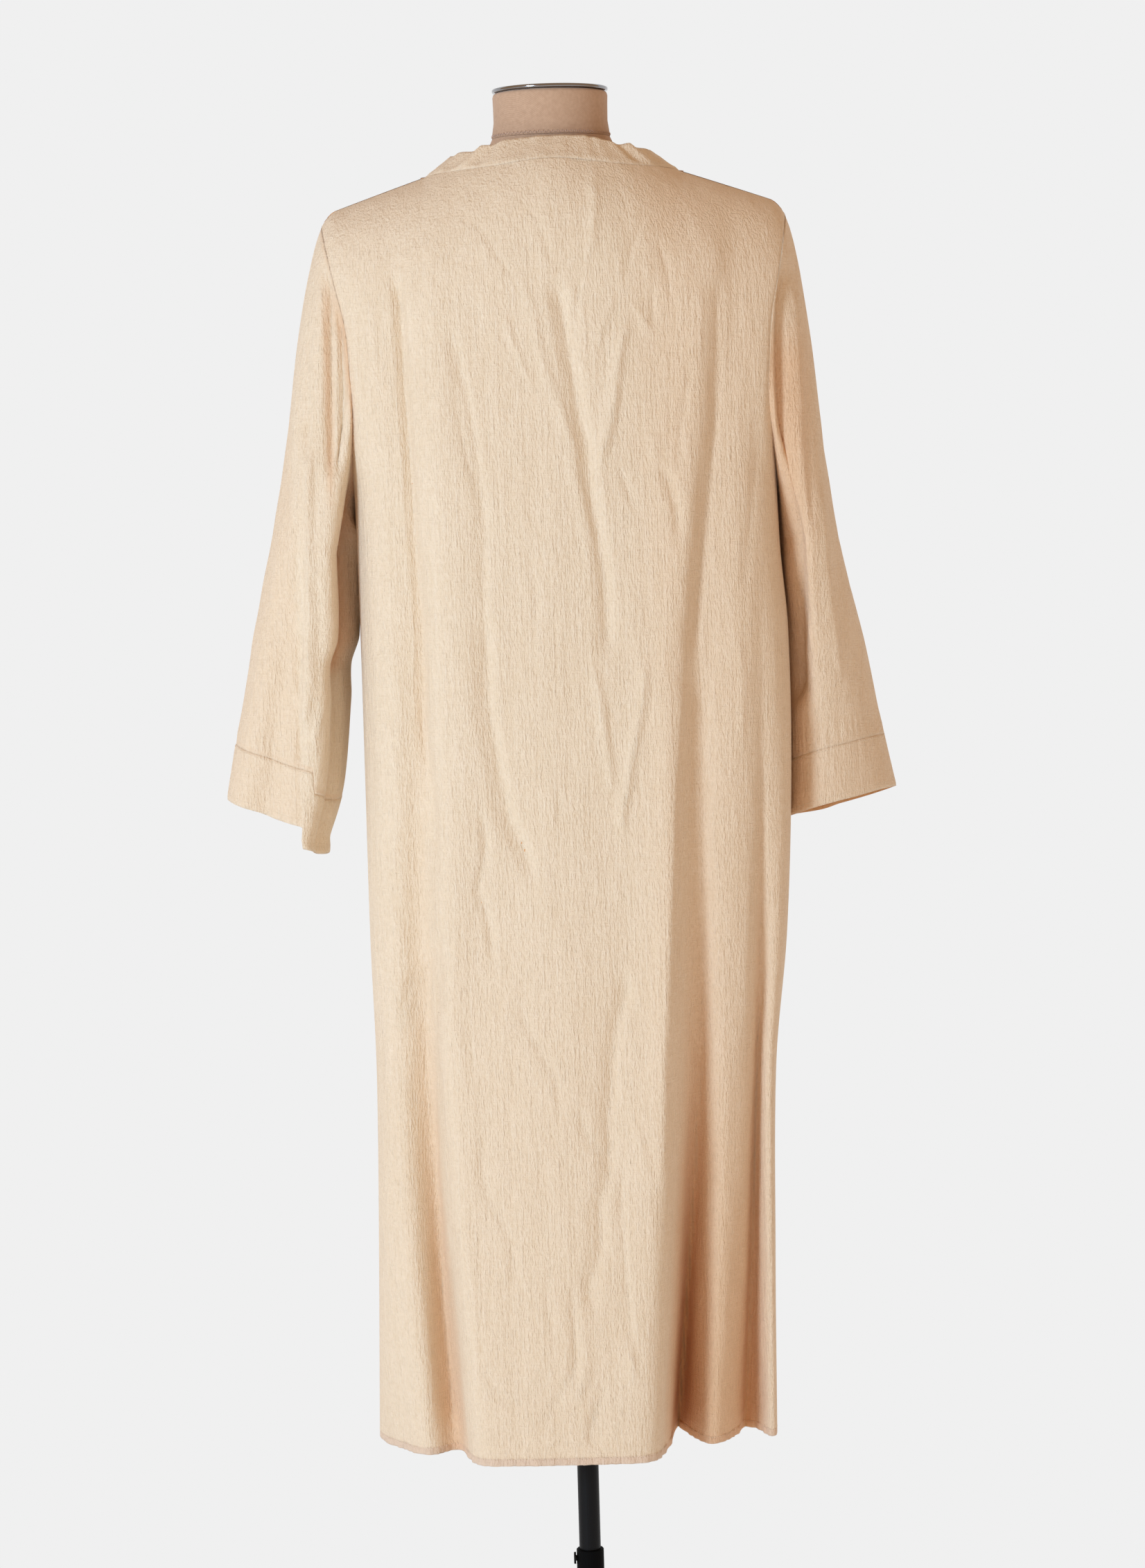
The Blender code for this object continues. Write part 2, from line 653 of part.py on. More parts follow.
def build_sleeve(side_name, back_rows, front_rows, material):
    rows, cuff = sleeve_rows(side_name, back_rows, front_rows)
    inward = tube_inward(rows)
    for k in range(len(rows[0])):
        turn = 2.0 * math.pi * k / len(rows[0])
        inward[0][k] = Vector((0.0, math.sin(turn), -math.cos(turn)))
    level_inward(rows, inward, len(rows) - 1)
    wall(f"sleeve_{side_name}", rows, inward, True, material)
    inward = tube_inward(cuff)
    for r in range(len(cuff)):
        level_inward(cuff, inward, r)
    wall(f"cuff_{side_name}", cuff, inward, True, material)


def collar_ring(back_rows, back_inward, front_rows, front_inward):
    """The neckline seam all round with its inward directions: back left to right, front right to left."""
    back = [pair for pair in zip(back_rows[0], back_inward) if abs(pair[0].x) <= NECK_POINT_X + 1e-6]
    front = [pair for pair in zip(front_rows[0], front_inward) if abs(pair[0].x) < NECK_POINT_X - 1e-6]
    return [(point.copy(), inward.copy()) for point, inward in back + front[::-1]]


def band_lean(point):
    """Direction from the neckline seam to the collar band's top edge."""
    back, at_side, at_front, notch = (
        Vector((math.copysign(lean[0], -point.x), *lean[1:]))
        for lean in (BAND_AT_BACK, BAND_AT_SIDE, BAND_AT_FRONT, BAND_AT_NOTCH))
    if point.y <= 0.0:
        return back.lerp(at_side, ease(abs(point.x) / NECK_POINT_X)).normalized()
    lean = at_side.lerp(at_front, ease(point.y / BACK_NECK_Y))
    return lean.lerp(notch, ease(1.0 - abs(point.x) / BAND_NOTCH_X))


def build_collar(back, front, material):
    ring = collar_ring(*back, *front)
    rows = []
    for r in range(BAND_ROWS + 1):
        lift = BAND_SEAM + BAND_WIDTH * r / BAND_ROWS
        rows.append([point + band_lean(point) * lift for point, _ in ring])
    inward = tube_inward(rows)
    inward[0] = [direction for _, direction in ring]
    wall("collar_band", rows, inward, True, material)


def loft(name, rings, material):
    """A closed solid through rings of equal count, capped at both ends."""
    count = len(rings[0])
    points = [point for ring in rings for point in ring]
    faces = []
    for r in range(len(rings) - 1):
        for c in range(count):
            n = (c + 1) % count
            faces.append((r * count + c, r * count + n, (r + 1) * count + n, (r + 1) * count + c))
    faces.append(tuple(range(count)))
    faces.append(tuple((len(rings) - 1) * count + c for c in reversed(range(count))))
    return make_object(name, points, faces, material)


def oval(half_width, back, front, z, power=2.0):
    ring = []
    for k in range(FORM_SIDES):
        turn = 2.0 * math.pi * k / FORM_SIDES
        c, s = math.cos(turn), math.sin(turn)
        x = half_width * math.copysign(abs(c) ** (2.0 / power), c)
        y = (front if s > 0 else back) * math.copysign(abs(s) ** (2.0 / power), s)
        ring.append(Vector((x, y, z)))
    return ring


def cloth_over(x, y):
    """The cloth's outer face over a place on the shoulders."""
    column = 3 if y < 0 else 4
    z = ridge(x)
    for _ in range(6):
        depth = at_height(SECTIONS, z, column) * side_share(x, z)
        z = ridge(x) - ROOF_DROP * roof_fall(abs(y) / depth)
    return Vector((x, y, z))


def under_cloth(x, y, clearance):
    """A place under the cloth's inner face, at right angles to it."""
    step = 0.0005
    across = cloth_over(x + step, y) - cloth_over(x - step, y)
    along = cloth_over(x, y + step) - cloth_over(x, y - step)
    return cloth_over(x, y) - across.cross(along).normalized() * (CLOTH + clearance)


def form_clearance(x, y):
    """Room under the cloth: it rests on the shoulder ridge and clears the form elsewhere."""
    under_collar = FORM_COLLAR_GAP * ease((NECK_POINT_X + 0.006 - abs(x)) / 0.006)
    return FORM_GAP + under_collar + FORM_BODY_GAP * ease(abs(y) / 0.04)


def build_form(material):
    """The torso from the neck seam over the shoulders to the hips, a smooth whole solid."""
    _, seam_width, seam_depth = NECK_SECTIONS[0]
    rings = [oval(seam_width, seam_depth, seam_depth, NECK_SEAM_Z - SEAM_GAP)]
    for step in range(FORM_SHOULDER_RINGS + 1):
        t = step / FORM_SHOULDER_RINGS
        ring = oval(mix(NECK_FOOT_WIDTH, FORM_SHOULDER_X, t), mix(NECK_FOOT_DEPTH, FORM_BACK_ROOF, t),
                    mix(NECK_FOOT_DEPTH, FORM_FRONT_ROOF, t), 0.0, mix(2.0, FORM_SQUARENESS, t))
        rings.append([under_cloth(point.x, point.y, form_clearance(point.x, point.y)) for point in ring])
    top = rings[-1]
    low, high = FORM_SECTIONS[-1][0], FORM_SECTIONS[0][0]
    chest = oval(*FORM_SECTIONS[0][1:], high, FORM_SQUARENESS)
    for step in range(1, FORM_CHEST_RINGS):
        rings.append([a.lerp(b, step / FORM_CHEST_RINGS) for a, b in zip(top, chest)])
    for step in range(FORM_LEVELS + 1):
        z = mix(high, low, step / FORM_LEVELS)
        rings.append(oval(*(at_height(FORM_SECTIONS, z, column) for column in (1, 2, 3)), z, FORM_SQUARENESS))
    rim = FORM_BOTTOM_RIM
    half_width, back, front = FORM_SECTIONS[-1][1:]
    rings.append(oval(half_width - rim, back - rim, front - rim, low - rim, FORM_SQUARENESS))
    loft("form_torso", rings, material)


def circle(radius, z, sides):
    turns = [2.0 * math.pi * k / sides for k in range(sides)]
    return [Vector((radius * math.cos(turn), radius * math.sin(turn), z)) for turn in turns]


def turned(name, profile, material, sides=ROUND_SIDES):
    """A tube turned round Z from a closed profile of radius and height."""
    points = [point for radius, z in profile for point in circle(radius, z, sides)]
    faces = []
    for p in range(len(profile)):
        q = (p + 1) % len(profile)
        for k in range(sides):
            n = (k + 1) % sides
            faces.append((p * sides + k, p * sides + n, q * sides + n, q * sides + k))
    return make_object(name, points, faces, material)


def disc(name, stack, material, sides=ROUND_SIDES):
    """A solid of revolution from a stack of radius and height, capped at both ends."""
    return loft(name, [circle(radius, z, sides) for radius, z in stack], material)


def build_neck(material):
    rings = []
    for share, half_width, half_depth in NECK_SECTIONS:
        rings.append(oval(half_width, half_depth, half_depth, mix(NECK_SEAM_Z, NECK_TOP_Z, share)))
    loft("form_neck", rings, material)


def build_cap(material):
    low = NECK_TOP_Z + SEAM_GAP
    high = low + CAP_THICKNESS
    disc("neck_cap", (
        (CAP_RADIUS - CAP_EDGE, low), (CAP_RADIUS, low + CAP_EDGE),
        (CAP_RADIUS, high - CAP_EDGE), (CAP_RADIUS - CAP_EDGE, high)), material, CAP_SIDES)


def build_base(material):
    """A round plate with a raised boss that carries the outer tube."""
    foot_of_boss = BASE_THICKNESS + BOSS_FLARE
    disc("base_plate", (
        (BASE_RADIUS - BASE_EDGE, 0.0), (BASE_RADIUS, BASE_EDGE),
        (BASE_RADIUS, BASE_THICKNESS - BASE_EDGE), (BASE_RADIUS - BASE_EDGE, BASE_THICKNESS),
        (BOSS_RADIUS + BASE_EDGE, foot_of_boss), (BOSS_RADIUS, foot_of_boss + BOSS_FLARE),
        (BOSS_RADIUS - BASE_EDGE, BOSS_TOP_Z)), material, BASE_SIDES)


def build_tubes(material):
    """The outer tube on the base, the pole that slides in it and the socket under the form."""
    low = BOSS_TOP_Z + SEAM_GAP
    tube = turned("outer_tube", (
        (OUTER_TUBE_RADIUS, low), (OUTER_TUBE_RADIUS, OUTER_TUBE_TOP - OUTER_TUBE_EDGE),
        (OUTER_TUBE_RADIUS - OUTER_TUBE_EDGE, OUTER_TUBE_TOP), (OUTER_TUBE_BORE, OUTER_TUBE_TOP),
        (OUTER_TUBE_BORE, low)), material)
    drill(tube, SCREW_HOLE_RADIUS, SCREW_Z)
    form_bottom = FORM_SECTIONS[-1][0] - FORM_BOTTOM_RIM
    pole_top = form_bottom - SOCKET_HEIGHT - 2.0 * SEAM_GAP
    bore = POLE_RADIUS - POLE_WALL
    turned("pole", (
        (POLE_RADIUS, POLE_BOTTOM_Z), (POLE_RADIUS, pole_top),
        (bore, pole_top), (bore, POLE_BOTTOM_Z)), material)
    socket_low = pole_top + SEAM_GAP
    disc("pole_socket", (
        (SOCKET_FOOT_RADIUS, socket_low), (SOCKET_RADIUS, socket_low + SOCKET_SLOPE),
        (SOCKET_RADIUS, form_bottom - SEAM_GAP)), material)


def drill(piece, radius, z):
    """A round hole through the left side of the tube, for the clamp screw."""
    bpy.ops.mesh.primitive_cylinder_add(vertices=SCREW_SIDES, radius=radius, depth=OUTER_TUBE_RADIUS,
                                        location=(-OUTER_TUBE_RADIUS, 0.0, z), rotation=(0.0, math.pi / 2, 0.0))
    cutter = bpy.context.active_object
    cutter.name = "screw_hole_cutter"
    cutter.hide_render = True
    cutter.display_type = "WIRE"
    cut = piece.modifiers.new("screw hole", "BOOLEAN")
    cut.operation = "DIFFERENCE"
    cut.object = cutter


def build_screw(material):
    """A clamp screw with a flat round head: its shaft reaches to the pole."""
    shaft_end = POLE_RADIUS + SEAM_GAP
    head_under = OUTER_TUBE_RADIUS + SCREW_HEAD_STANDOFF
    head_face = head_under + SCREW_HEAD_THICKNESS
    screw = disc("clamp_screw", (
        (SCREW_RADIUS, shaft_end), (SCREW_RADIUS, head_under), (SCREW_HEAD_RADIUS, head_under),
        (SCREW_HEAD_RADIUS, head_face - SCREW_HEAD_EDGE), (SCREW_HEAD_RADIUS - SCREW_HEAD_EDGE, head_face)),
        material, SCREW_SIDES)
    screw.rotation_euler = (0.0, -math.pi / 2, 0.0)
    screw.location = (0.0, 0.0, SCREW_Z)


def main():
    clear_scene()
    cotton = finish("sand cotton", (0.83, 0.66, 0.47), 0.85)
    band_cotton = finish("sand cotton band", (0.85, 0.68, 0.49), 0.85)
    linen = finish("rose beige linen", (0.50, 0.35, 0.27), 0.9)
    chrome = finish("dark chrome", (0.30, 0.30, 0.31), 0.15, 1.0)
    black = finish("black enamel", (0.02, 0.02, 0.022), 0.35)

    back = build_panel("back_panel", -1, BACK_NECK_COLUMNS, cotton)
    front = build_panel("front_panel", 1, FRONT_NECK_COLUMNS, cotton)
    for side_name in ("left", "right"):
        build_sleeve(side_name, back[0], front[0], cotton)
    build_collar(back, front, band_cotton)
    build_form(linen)
    build_neck(linen)
    build_cap(chrome)
    build_base(black)
    build_tubes(black)
    build_screw(black)


main()
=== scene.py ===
import math

import bmesh
import bpy
import numpy as np
from mathutils import Matrix, Vector, noise


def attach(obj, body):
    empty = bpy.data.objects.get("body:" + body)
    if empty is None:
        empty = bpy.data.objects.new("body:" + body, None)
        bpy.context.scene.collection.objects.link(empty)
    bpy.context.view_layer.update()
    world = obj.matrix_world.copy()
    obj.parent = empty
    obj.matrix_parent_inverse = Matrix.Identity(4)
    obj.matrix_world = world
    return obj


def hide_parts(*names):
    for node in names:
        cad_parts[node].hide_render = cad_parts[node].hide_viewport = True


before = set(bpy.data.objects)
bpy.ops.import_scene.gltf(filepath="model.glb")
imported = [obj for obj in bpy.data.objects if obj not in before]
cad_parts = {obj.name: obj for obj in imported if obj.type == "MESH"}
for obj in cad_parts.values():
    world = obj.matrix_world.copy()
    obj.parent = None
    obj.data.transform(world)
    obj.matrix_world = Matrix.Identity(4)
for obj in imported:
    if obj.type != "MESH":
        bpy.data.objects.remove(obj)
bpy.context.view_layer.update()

# Sizes of the cut, in metres: the garment's back faces -Y, its front +Y

CLOTH = 0.0010           # thickness of the cotton
SEAM_GAP = 0.0003        # between pieces that are sewn together
HEM_Z = 0.413
HEM_TURN = 0.008         # depth of the turned hem
HEM_BULK = 0.0015        # how far the turned hem stands out
UNDERARM_Z = 1.385
SEAM_SHADE = 0.16        # painted shade of the cloth where two pieces meet

NECK_POINT_X = 0.128
NECK_POINT_Z = 1.700
NECK_RISE = 0.580
NECK_ROUND = 0.040
SHOULDER_FALL = 0.337
TIP_ROUND_X = 0.215
TIP_ROUND = 36.0
TIP_Z = 1.656
ROOF_DROP = 0.155
ROOF_SQUARENESS = 2.4
ARMHOLE_SIDE = 0.64
ARMHOLE_MID_Z = TIP_Z - ROOF_DROP

BACK_NECK_Y = 0.090
FRONT_NECK_DROP = 0.145
FRONT_NECK_CURVE = 1.2
BAND_WIDTH = 0.033
BAND_SEAM = 1.5 * SEAM_GAP
BAND_AT_BACK = (0.0, 0.70, 0.71)
BAND_AT_SIDE = (0.80, 0.0, 0.60)
BAND_AT_FRONT = (0.76, -0.06, 0.65)
BAND_AT_NOTCH = (0.0, -0.10, 1.30)
BAND_NOTCH_X = 0.030

SECTIONS = (
    # z      left    right   back    front   squareness
    (1.700, 0.2800, 0.2800, 0.1150, 0.1180, 2.50),
    (1.656, 0.2710, 0.2710, 0.1155, 0.1190, 2.50),
    (1.600, 0.2570, 0.2600, 0.1160, 0.1210, 2.50),
    (1.550, 0.2422, 0.2471, 0.1165, 0.1225, 2.55),
    (1.500, 0.2359, 0.2408, 0.1170, 0.1240, 2.62),
    (1.450, 0.2215, 0.2275, 0.1170, 0.1260, 2.85),
    (1.420, 0.2125, 0.2200, 0.1170, 0.1275, 3.05),
    (1.400, 0.2085, 0.2175, 0.1170, 0.1280, 3.15),
    (1.385, 0.2070, 0.2170, 0.1170, 0.1285, 3.20),
    (1.320, 0.2062, 0.2190, 0.1162, 0.1285, 3.12),
    (1.240, 0.2055, 0.2250, 0.1150, 0.1280, 3.05),
    (1.100, 0.2055, 0.2250, 0.1120, 0.1250, 2.95),
    (0.935, 0.2055, 0.2170, 0.1080, 0.1210, 2.85),
    (0.800, 0.2035, 0.2030, 0.1040, 0.1170, 2.75),
    (0.600, 0.2080, 0.1980, 0.1000, 0.1130, 2.60),
    (0.413, 0.2150, 0.1960, 0.0980, 0.1110, 2.50),
)
SIDE_SWAY = (
    # z     left    right
    (1.00, 0.000, 0.000),
    (0.70, 0.006, 0.004),
    (0.55, 0.020, 0.012),
    (0.413, 0.055, 0.020),
)
FOLD_HEIGHTS = (1.60, 1.20, 0.80, 0.413)
BACK_FOLDS = (
    # name                places                            depths                        left   right
    ("left valley",        (-0.158, -0.146, -0.148, -0.130), (0.004, 0.014, 0.028, 0.058), 0.022, 0.013),
    ("left ridge",         (-0.120, -0.115, -0.128, -0.100), (-0.002, -0.006, -0.007, -0.004), 0.016, 0.030),
    ("middle fullness",    (0.000, -0.010, -0.020, -0.020), (-0.002, -0.005, -0.007, -0.006), 0.080, 0.080),
    ("right ridge",        (0.156, 0.112, 0.086, 0.052), (-0.003, -0.006, -0.008, -0.004), 0.030, 0.014),
    ("right valley",       (0.174, 0.128, 0.117, 0.095), (0.004, 0.013, 0.034, 0.108), 0.015, 0.024),
    ("right hollow",       (0.190, 0.180, 0.175, 0.165), (0.000, 0.004, 0.022, 0.066), 0.045, 0.050),
    ("far right valley",   (0.200, 0.195, 0.183, 0.165), (0.000, 0.002, 0.014, 0.016), 0.009, 0.011),
)
# Narrow cores of the two deepest valleys, with nearly straight sides
BACK_CORES = (
    ("right core",         (0.150, 0.136, 0.124, 0.095), (0.000, 0.000, 0.009, 0.032), 0.012, 0.011),
    ("second core",        (0.200, 0.195, 0.182, 0.163), (0.000, 0.001, 0.009, 0.012), 0.007, 0.009),
)
FRONT_FOLDS = (
    ("left valley",        (-0.150, -0.142, -0.140, -0.128), (0.003, 0.012, 0.026, 0.040), 0.022, 0.016),
    ("inner left valley",  (-0.070, -0.066, -0.060, -0.050), (0.000, 0.008, 0.022, 0.040), 0.018, 0.024),
    ("middle fullness",    (0.000, 0.000, 0.010, 0.012), (0.000, -0.004, -0.006, -0.006), 0.030, 0.030),
    ("inner right valley", (0.072, 0.066, 0.058, 0.052), (0.000, 0.006, 0.018, 0.030), 0.016, 0.018),
    ("right valley",       (0.156, 0.150, 0.158, 0.160), (0.003, 0.010, 0.018, 0.026), 0.018, 0.018),
)

# Creases by their course in x and z from the top down: a depth above 0 is a trough, below 0 a ridge
BACK_CREASES = (
    # name    left    right    depth    course
    ("long slant", 0.0140, 0.0120, 0.0067, ((-0.000, 1.593), (0.007, 1.559), (0.011, 1.525), (0.016, 1.492),
        (0.020, 1.458), (0.026, 1.431), (0.028, 1.403), (0.030, 1.376), (0.034, 1.356), (0.038, 1.322),
        (0.041, 1.288), (0.042, 1.254), (0.038, 1.220))),
    ("long slant crest", 0.0140, 0.0040, -0.0019, ((-0.029, 1.594), (-0.021, 1.560), (-0.016, 1.526),
        (-0.005, 1.492), (0.006, 1.458), (0.015, 1.431), (0.018, 1.404), (0.023, 1.377), (0.027, 1.356),
        (0.031, 1.322))),
    ("short dark", 0.0060, 0.0050, 0.0032, ((0.027, 1.596), (0.021, 1.565), (0.018, 1.532),
        (0.017, 1.517))),
    ("bright slant", 0.0140, 0.0060, -0.0048, ((0.074, 1.551), (0.064, 1.524), (0.059, 1.497),
        (0.056, 1.470), (0.050, 1.443), (0.044, 1.423), (0.035, 1.400))),
    ("bright short", 0.0090, 0.0050, -0.0026, ((0.059, 1.575), (0.053, 1.558), (0.044, 1.538),
        (0.037, 1.521))),
    ("peak", 0.0060, 0.0060, -0.0022, ((0.077, 1.567), (0.092, 1.535))),
    ("peak shade", 0.0050, 0.0060, 0.0026, ((0.093, 1.590), (0.095, 1.557), (0.093, 1.535))),
    ("wave crest", 0.0060, 0.0050, -0.0026, ((0.096, 1.441), (0.093, 1.425), (0.094, 1.408))),
    ("wave", 0.0070, 0.0120, 0.0042, ((0.098, 1.414), (0.104, 1.391), (0.111, 1.369), (0.113, 1.347),
        (0.113, 1.327))),
    ("hook", 0.0050, 0.0060, 0.0026, ((0.054, 1.411), (0.061, 1.396), (0.067, 1.379), (0.075, 1.360))),
    ("right side", 0.0160, 0.0100, 0.0051, ((0.160, 1.595), (0.158, 1.555), (0.155, 1.488), (0.150, 1.420),
        (0.141, 1.353), (0.134, 1.285), (0.125, 1.217))),
    ("left edge", 0.0110, 0.0060, 0.0095, ((-0.155, 1.604), (-0.151, 1.563), (-0.149, 1.496),
        (-0.146, 1.429), (-0.144, 1.361), (-0.141, 1.293), (-0.139, 1.225), (-0.140, 1.157),
        (-0.134, 1.088), (-0.133, 1.019))),
    ("left edge low", 0.0200, 0.0080, 0.0080, ((-0.131, 0.951), (-0.131, 0.916), (-0.139, 0.847),
        (-0.141, 0.778), (-0.142, 0.709), (-0.141, 0.639), (-0.141, 0.569), (-0.138, 0.499),
        (-0.135, 0.436))),
    ("long trough head", 0.0140, 0.0060, 0.0029, ((-0.103, 1.549), (-0.094, 1.508), (-0.086, 1.467),
        (-0.081, 1.433), (-0.078, 1.400), (-0.075, 1.366), (-0.076, 1.325), (-0.077, 1.291),
        (-0.076, 1.257))),
    ("long trough", 0.0180, 0.0090, 0.0058, ((-0.076, 1.271), (-0.076, 1.223), (-0.076, 1.189),
        (-0.073, 1.155), (-0.069, 1.127), (-0.065, 1.100), (-0.061, 1.072), (-0.054, 1.052),
        (-0.042, 1.024), (-0.039, 0.996))),
    ("long trough foot", 0.0070, 0.0060, 0.0042, ((-0.088, 1.076), (-0.084, 1.052), (-0.083, 1.032),
        (-0.088, 1.011), (-0.092, 0.991), (-0.086, 0.977), (-0.081, 0.949), (-0.080, 0.915))),
    ("middle left", 0.0100, 0.0060, -0.0029, ((0.023, 1.220), (0.030, 1.200), (0.034, 1.179),
        (0.038, 1.145), (0.042, 1.110), (0.044, 1.083))),
    ("middle right", 0.0120, 0.0060, -0.0045, ((0.079, 1.226), (0.077, 1.191), (0.073, 1.164),
        (0.069, 1.144), (0.063, 1.117), (0.060, 1.096), (0.053, 1.069), (0.052, 1.042))),
    ("tick", 0.0040, 0.0050, 0.0022, ((-0.011, 1.086), (-0.009, 1.071), (-0.013, 1.056))),
    ("left low slant", 0.0050, 0.0060, 0.0035, ((-0.156, 0.920), (-0.164, 0.896), (-0.171, 0.876),
        (-0.179, 0.855), (-0.186, 0.840))),
    ("low crinkle", 0.0150, 0.0110, 0.0052, ((0.049, 0.911), (0.050, 0.883), (0.041, 0.856), (0.036, 0.822),
        (0.034, 0.787), (0.030, 0.759), (0.031, 0.732), (0.029, 0.704), (0.020, 0.676), (0.020, 0.648),
        (0.017, 0.621), (0.008, 0.593), (0.011, 0.561))),
    ("hem trough", 0.0090, 0.0070, 0.0042, ((-0.010, 0.600), (-0.009, 0.551), (-0.008, 0.523),
        (-0.014, 0.496))),
    ("hem ridge", 0.0050, 0.0050, -0.0035, ((0.004, 0.518), (-0.003, 0.495), (-0.013, 0.473))),
    ("hem ridge right", 0.0060, 0.0050, -0.0032, ((0.045, 0.539), (0.048, 0.511), (0.050, 0.487))),
    ("hem foot", 0.0070, 0.0070, 0.0038, ((0.011, 0.474), (0.007, 0.453), (0.002, 0.428))),
    ("right step", 0.0200, 0.0070, -0.0038, ((0.116, 1.197), (0.111, 1.134), (0.104, 1.069), (0.100, 0.992),
        (0.096, 0.930), (0.089, 0.837), (0.086, 0.770), (0.086, 0.682))),
    ("right step notch", 0.0040, 0.0060, 0.0030, ((0.097, 0.927), (0.108, 0.878), (0.117, 0.829),
        (0.124, 0.793))),
    ("left slope", 0.0050, 0.0070, 0.0026, ((-0.127, 0.964), (-0.157, 0.882), (-0.178, 0.834))),
    ("yoke wrinkle one", 0.0050, 0.0060, 0.0014, ((-0.073, 1.649), (-0.057, 1.618), (-0.036, 1.587))),
    ("yoke wrinkle two", 0.0050, 0.0060, 0.0014, ((-0.025, 1.667), (-0.011, 1.633), (-0.000, 1.598))),
    ("yoke wrinkle three", 0.0060, 0.0050, 0.0024, ((0.093, 1.657), (0.078, 1.624), (0.068, 1.584))),
    ("yoke wrinkle four", 0.0050, 0.0060, 0.0022, ((0.099, 1.630), (0.109, 1.600), (0.113, 1.563))),
    ("yoke wrinkle five", 0.0050, 0.0050, -0.0018, ((-0.055, 1.568), (-0.041, 1.527), (-0.025, 1.486))),
    ("waist wrinkle one", 0.0050, 0.0060, 0.0020, ((-0.101, 1.488), (-0.094, 1.434), (-0.081, 1.379))),
    ("waist wrinkle two", 0.0060, 0.0050, 0.0022, ((0.133, 1.509), (0.121, 1.455), (0.115, 1.394))),
    ("waist wrinkle three", 0.0050, 0.0060, 0.0018, ((-0.035, 1.337), (-0.028, 1.290), (-0.031, 1.235))),
    ("right wrinkle", 0.0070, 0.0060, 0.0026, ((0.195, 1.426), (0.186, 1.345), (0.176, 1.270))),
    ("right wrinkle low", 0.0060, 0.0070, -0.0022, ((0.167, 1.250), (0.174, 1.196), (0.171, 1.121))),
    ("low wrinkle one", 0.0050, 0.0060, 0.0026, ((-0.060, 0.886), (-0.043, 0.845), (-0.022, 0.802),
        (-0.019, 0.768))),
    ("low wrinkle two", 0.0050, 0.0060, 0.0024, ((-0.004, 0.774), (0.010, 0.743), (0.033, 0.711))),
    ("low wrinkle three", 0.0060, 0.0050, 0.0024, ((0.049, 0.773), (0.034, 0.738), (0.017, 0.697))),
    ("low wrinkle four", 0.0050, 0.0060, -0.0024, ((0.055, 0.759), (0.065, 0.724), (0.067, 0.689))),
    ("low wrinkle five", 0.0080, 0.0060, 0.0030, ((0.044, 0.731), (0.041, 0.662), (0.044, 0.592),
        (0.047, 0.522))),
    ("low wrinkle six", 0.0060, 0.0060, 0.0022, ((-0.099, 0.749), (-0.094, 0.693), (-0.072, 0.644),
        (-0.068, 0.588))),
    ("low wrinkle seven", 0.0060, 0.0050, 0.0022, ((-0.027, 0.636), (-0.035, 0.587), (-0.028, 0.538))),
    ("hem slant one", 0.0050, 0.0050, 0.0028, ((0.002, 0.530), (-0.023, 0.489), (-0.053, 0.437))),
    ("hem slant two", 0.0050, 0.0050, 0.0028, ((0.024, 0.502), (0.011, 0.467), (-0.007, 0.427))),
    ("hem slant three", 0.0050, 0.0050, -0.0024, ((0.042, 0.494), (0.032, 0.459), (0.023, 0.431))),
    ("hem slant four", 0.0050, 0.0060, 0.0024, ((-0.106, 0.516), (-0.085, 0.484), (-0.066, 0.466))),
    ("hem slant five", 0.0050, 0.0050, 0.0022, ((-0.030, 0.517), (-0.052, 0.490), (-0.077, 0.469))),
    ("yoke tuck", 0.0100, 0.0060, -0.0030, ((0.040, 1.702), (0.041, 1.686), (0.041, 1.659), (0.039, 1.632),
        (0.035, 1.605))),
)
FRONT_CREASES = (
    ("left slant", 0.0100, 0.0140, 0.0040, ((-0.110, 1.480), (-0.086, 1.400), (-0.066, 1.330),
        (-0.050, 1.260))),
    ("right slant", 0.0140, 0.0100, 0.0040, ((0.100, 1.460), (0.088, 1.390), (0.070, 1.310), (0.060, 1.240))),
    ("middle slant", 0.0060, 0.0090, 0.0022, ((-0.020, 1.440), (-0.004, 1.370), (0.010, 1.300),
        (0.012, 1.220))),
    ("short ridge", 0.0060, 0.0070, -0.0018, ((0.046, 1.500), (0.034, 1.450), (0.030, 1.410))),
    ("waist wave", 0.0070, 0.0090, 0.0022, ((0.104, 1.180), (0.108, 1.120), (0.100, 1.060), (0.106, 1.000))),
    ("waist trough", 0.0090, 0.0080, 0.0026, ((-0.100, 1.180), (-0.096, 1.110), (-0.102, 1.040),
        (-0.098, 0.960))),
    ("low slant", 0.0070, 0.0090, 0.0020, ((0.000, 0.900), (0.012, 0.840), (0.010, 0.780))),
    ("low ridge", 0.0060, 0.0070, -0.0016, ((-0.020, 0.640), (-0.012, 0.590), (-0.016, 0.540))),
    ("hem ridge", 0.0060, 0.0070, -0.0016, ((0.110, 0.560), (0.100, 0.510), (0.104, 0.470))),
)

SLEEVE_SECTIONS = {
    "left": (
        # z      outer   inner   back     front
        (1.330, 0.2945, 0.2100, -0.0820, 0.0780),
        (1.245, 0.3145, 0.2100, -0.0725, 0.0770),
        (1.217, 0.3196, 0.2195, -0.0697, 0.0757),
        (1.180, 0.3271, 0.2205, -0.0652, 0.0722),
        (1.093, 0.3445, 0.2300, -0.0547, 0.0647),
        (1.040, 0.3540, 0.2460, -0.0500, 0.0600),
    ),
    "right": (
        (1.330, 0.2790, 0.2215, -0.0560, 0.0860),
        (1.220, 0.3060, 0.2270, -0.0300, 0.0980),
        (1.130, 0.3250, 0.2260, -0.0100, 0.1040),
        (1.040, 0.3440, 0.2250, -0.0040, 0.1040),
    ),
}
SLEEVE_TOP_BULGE = 0.0058
SLEEVE_SQUARENESS = 2.2
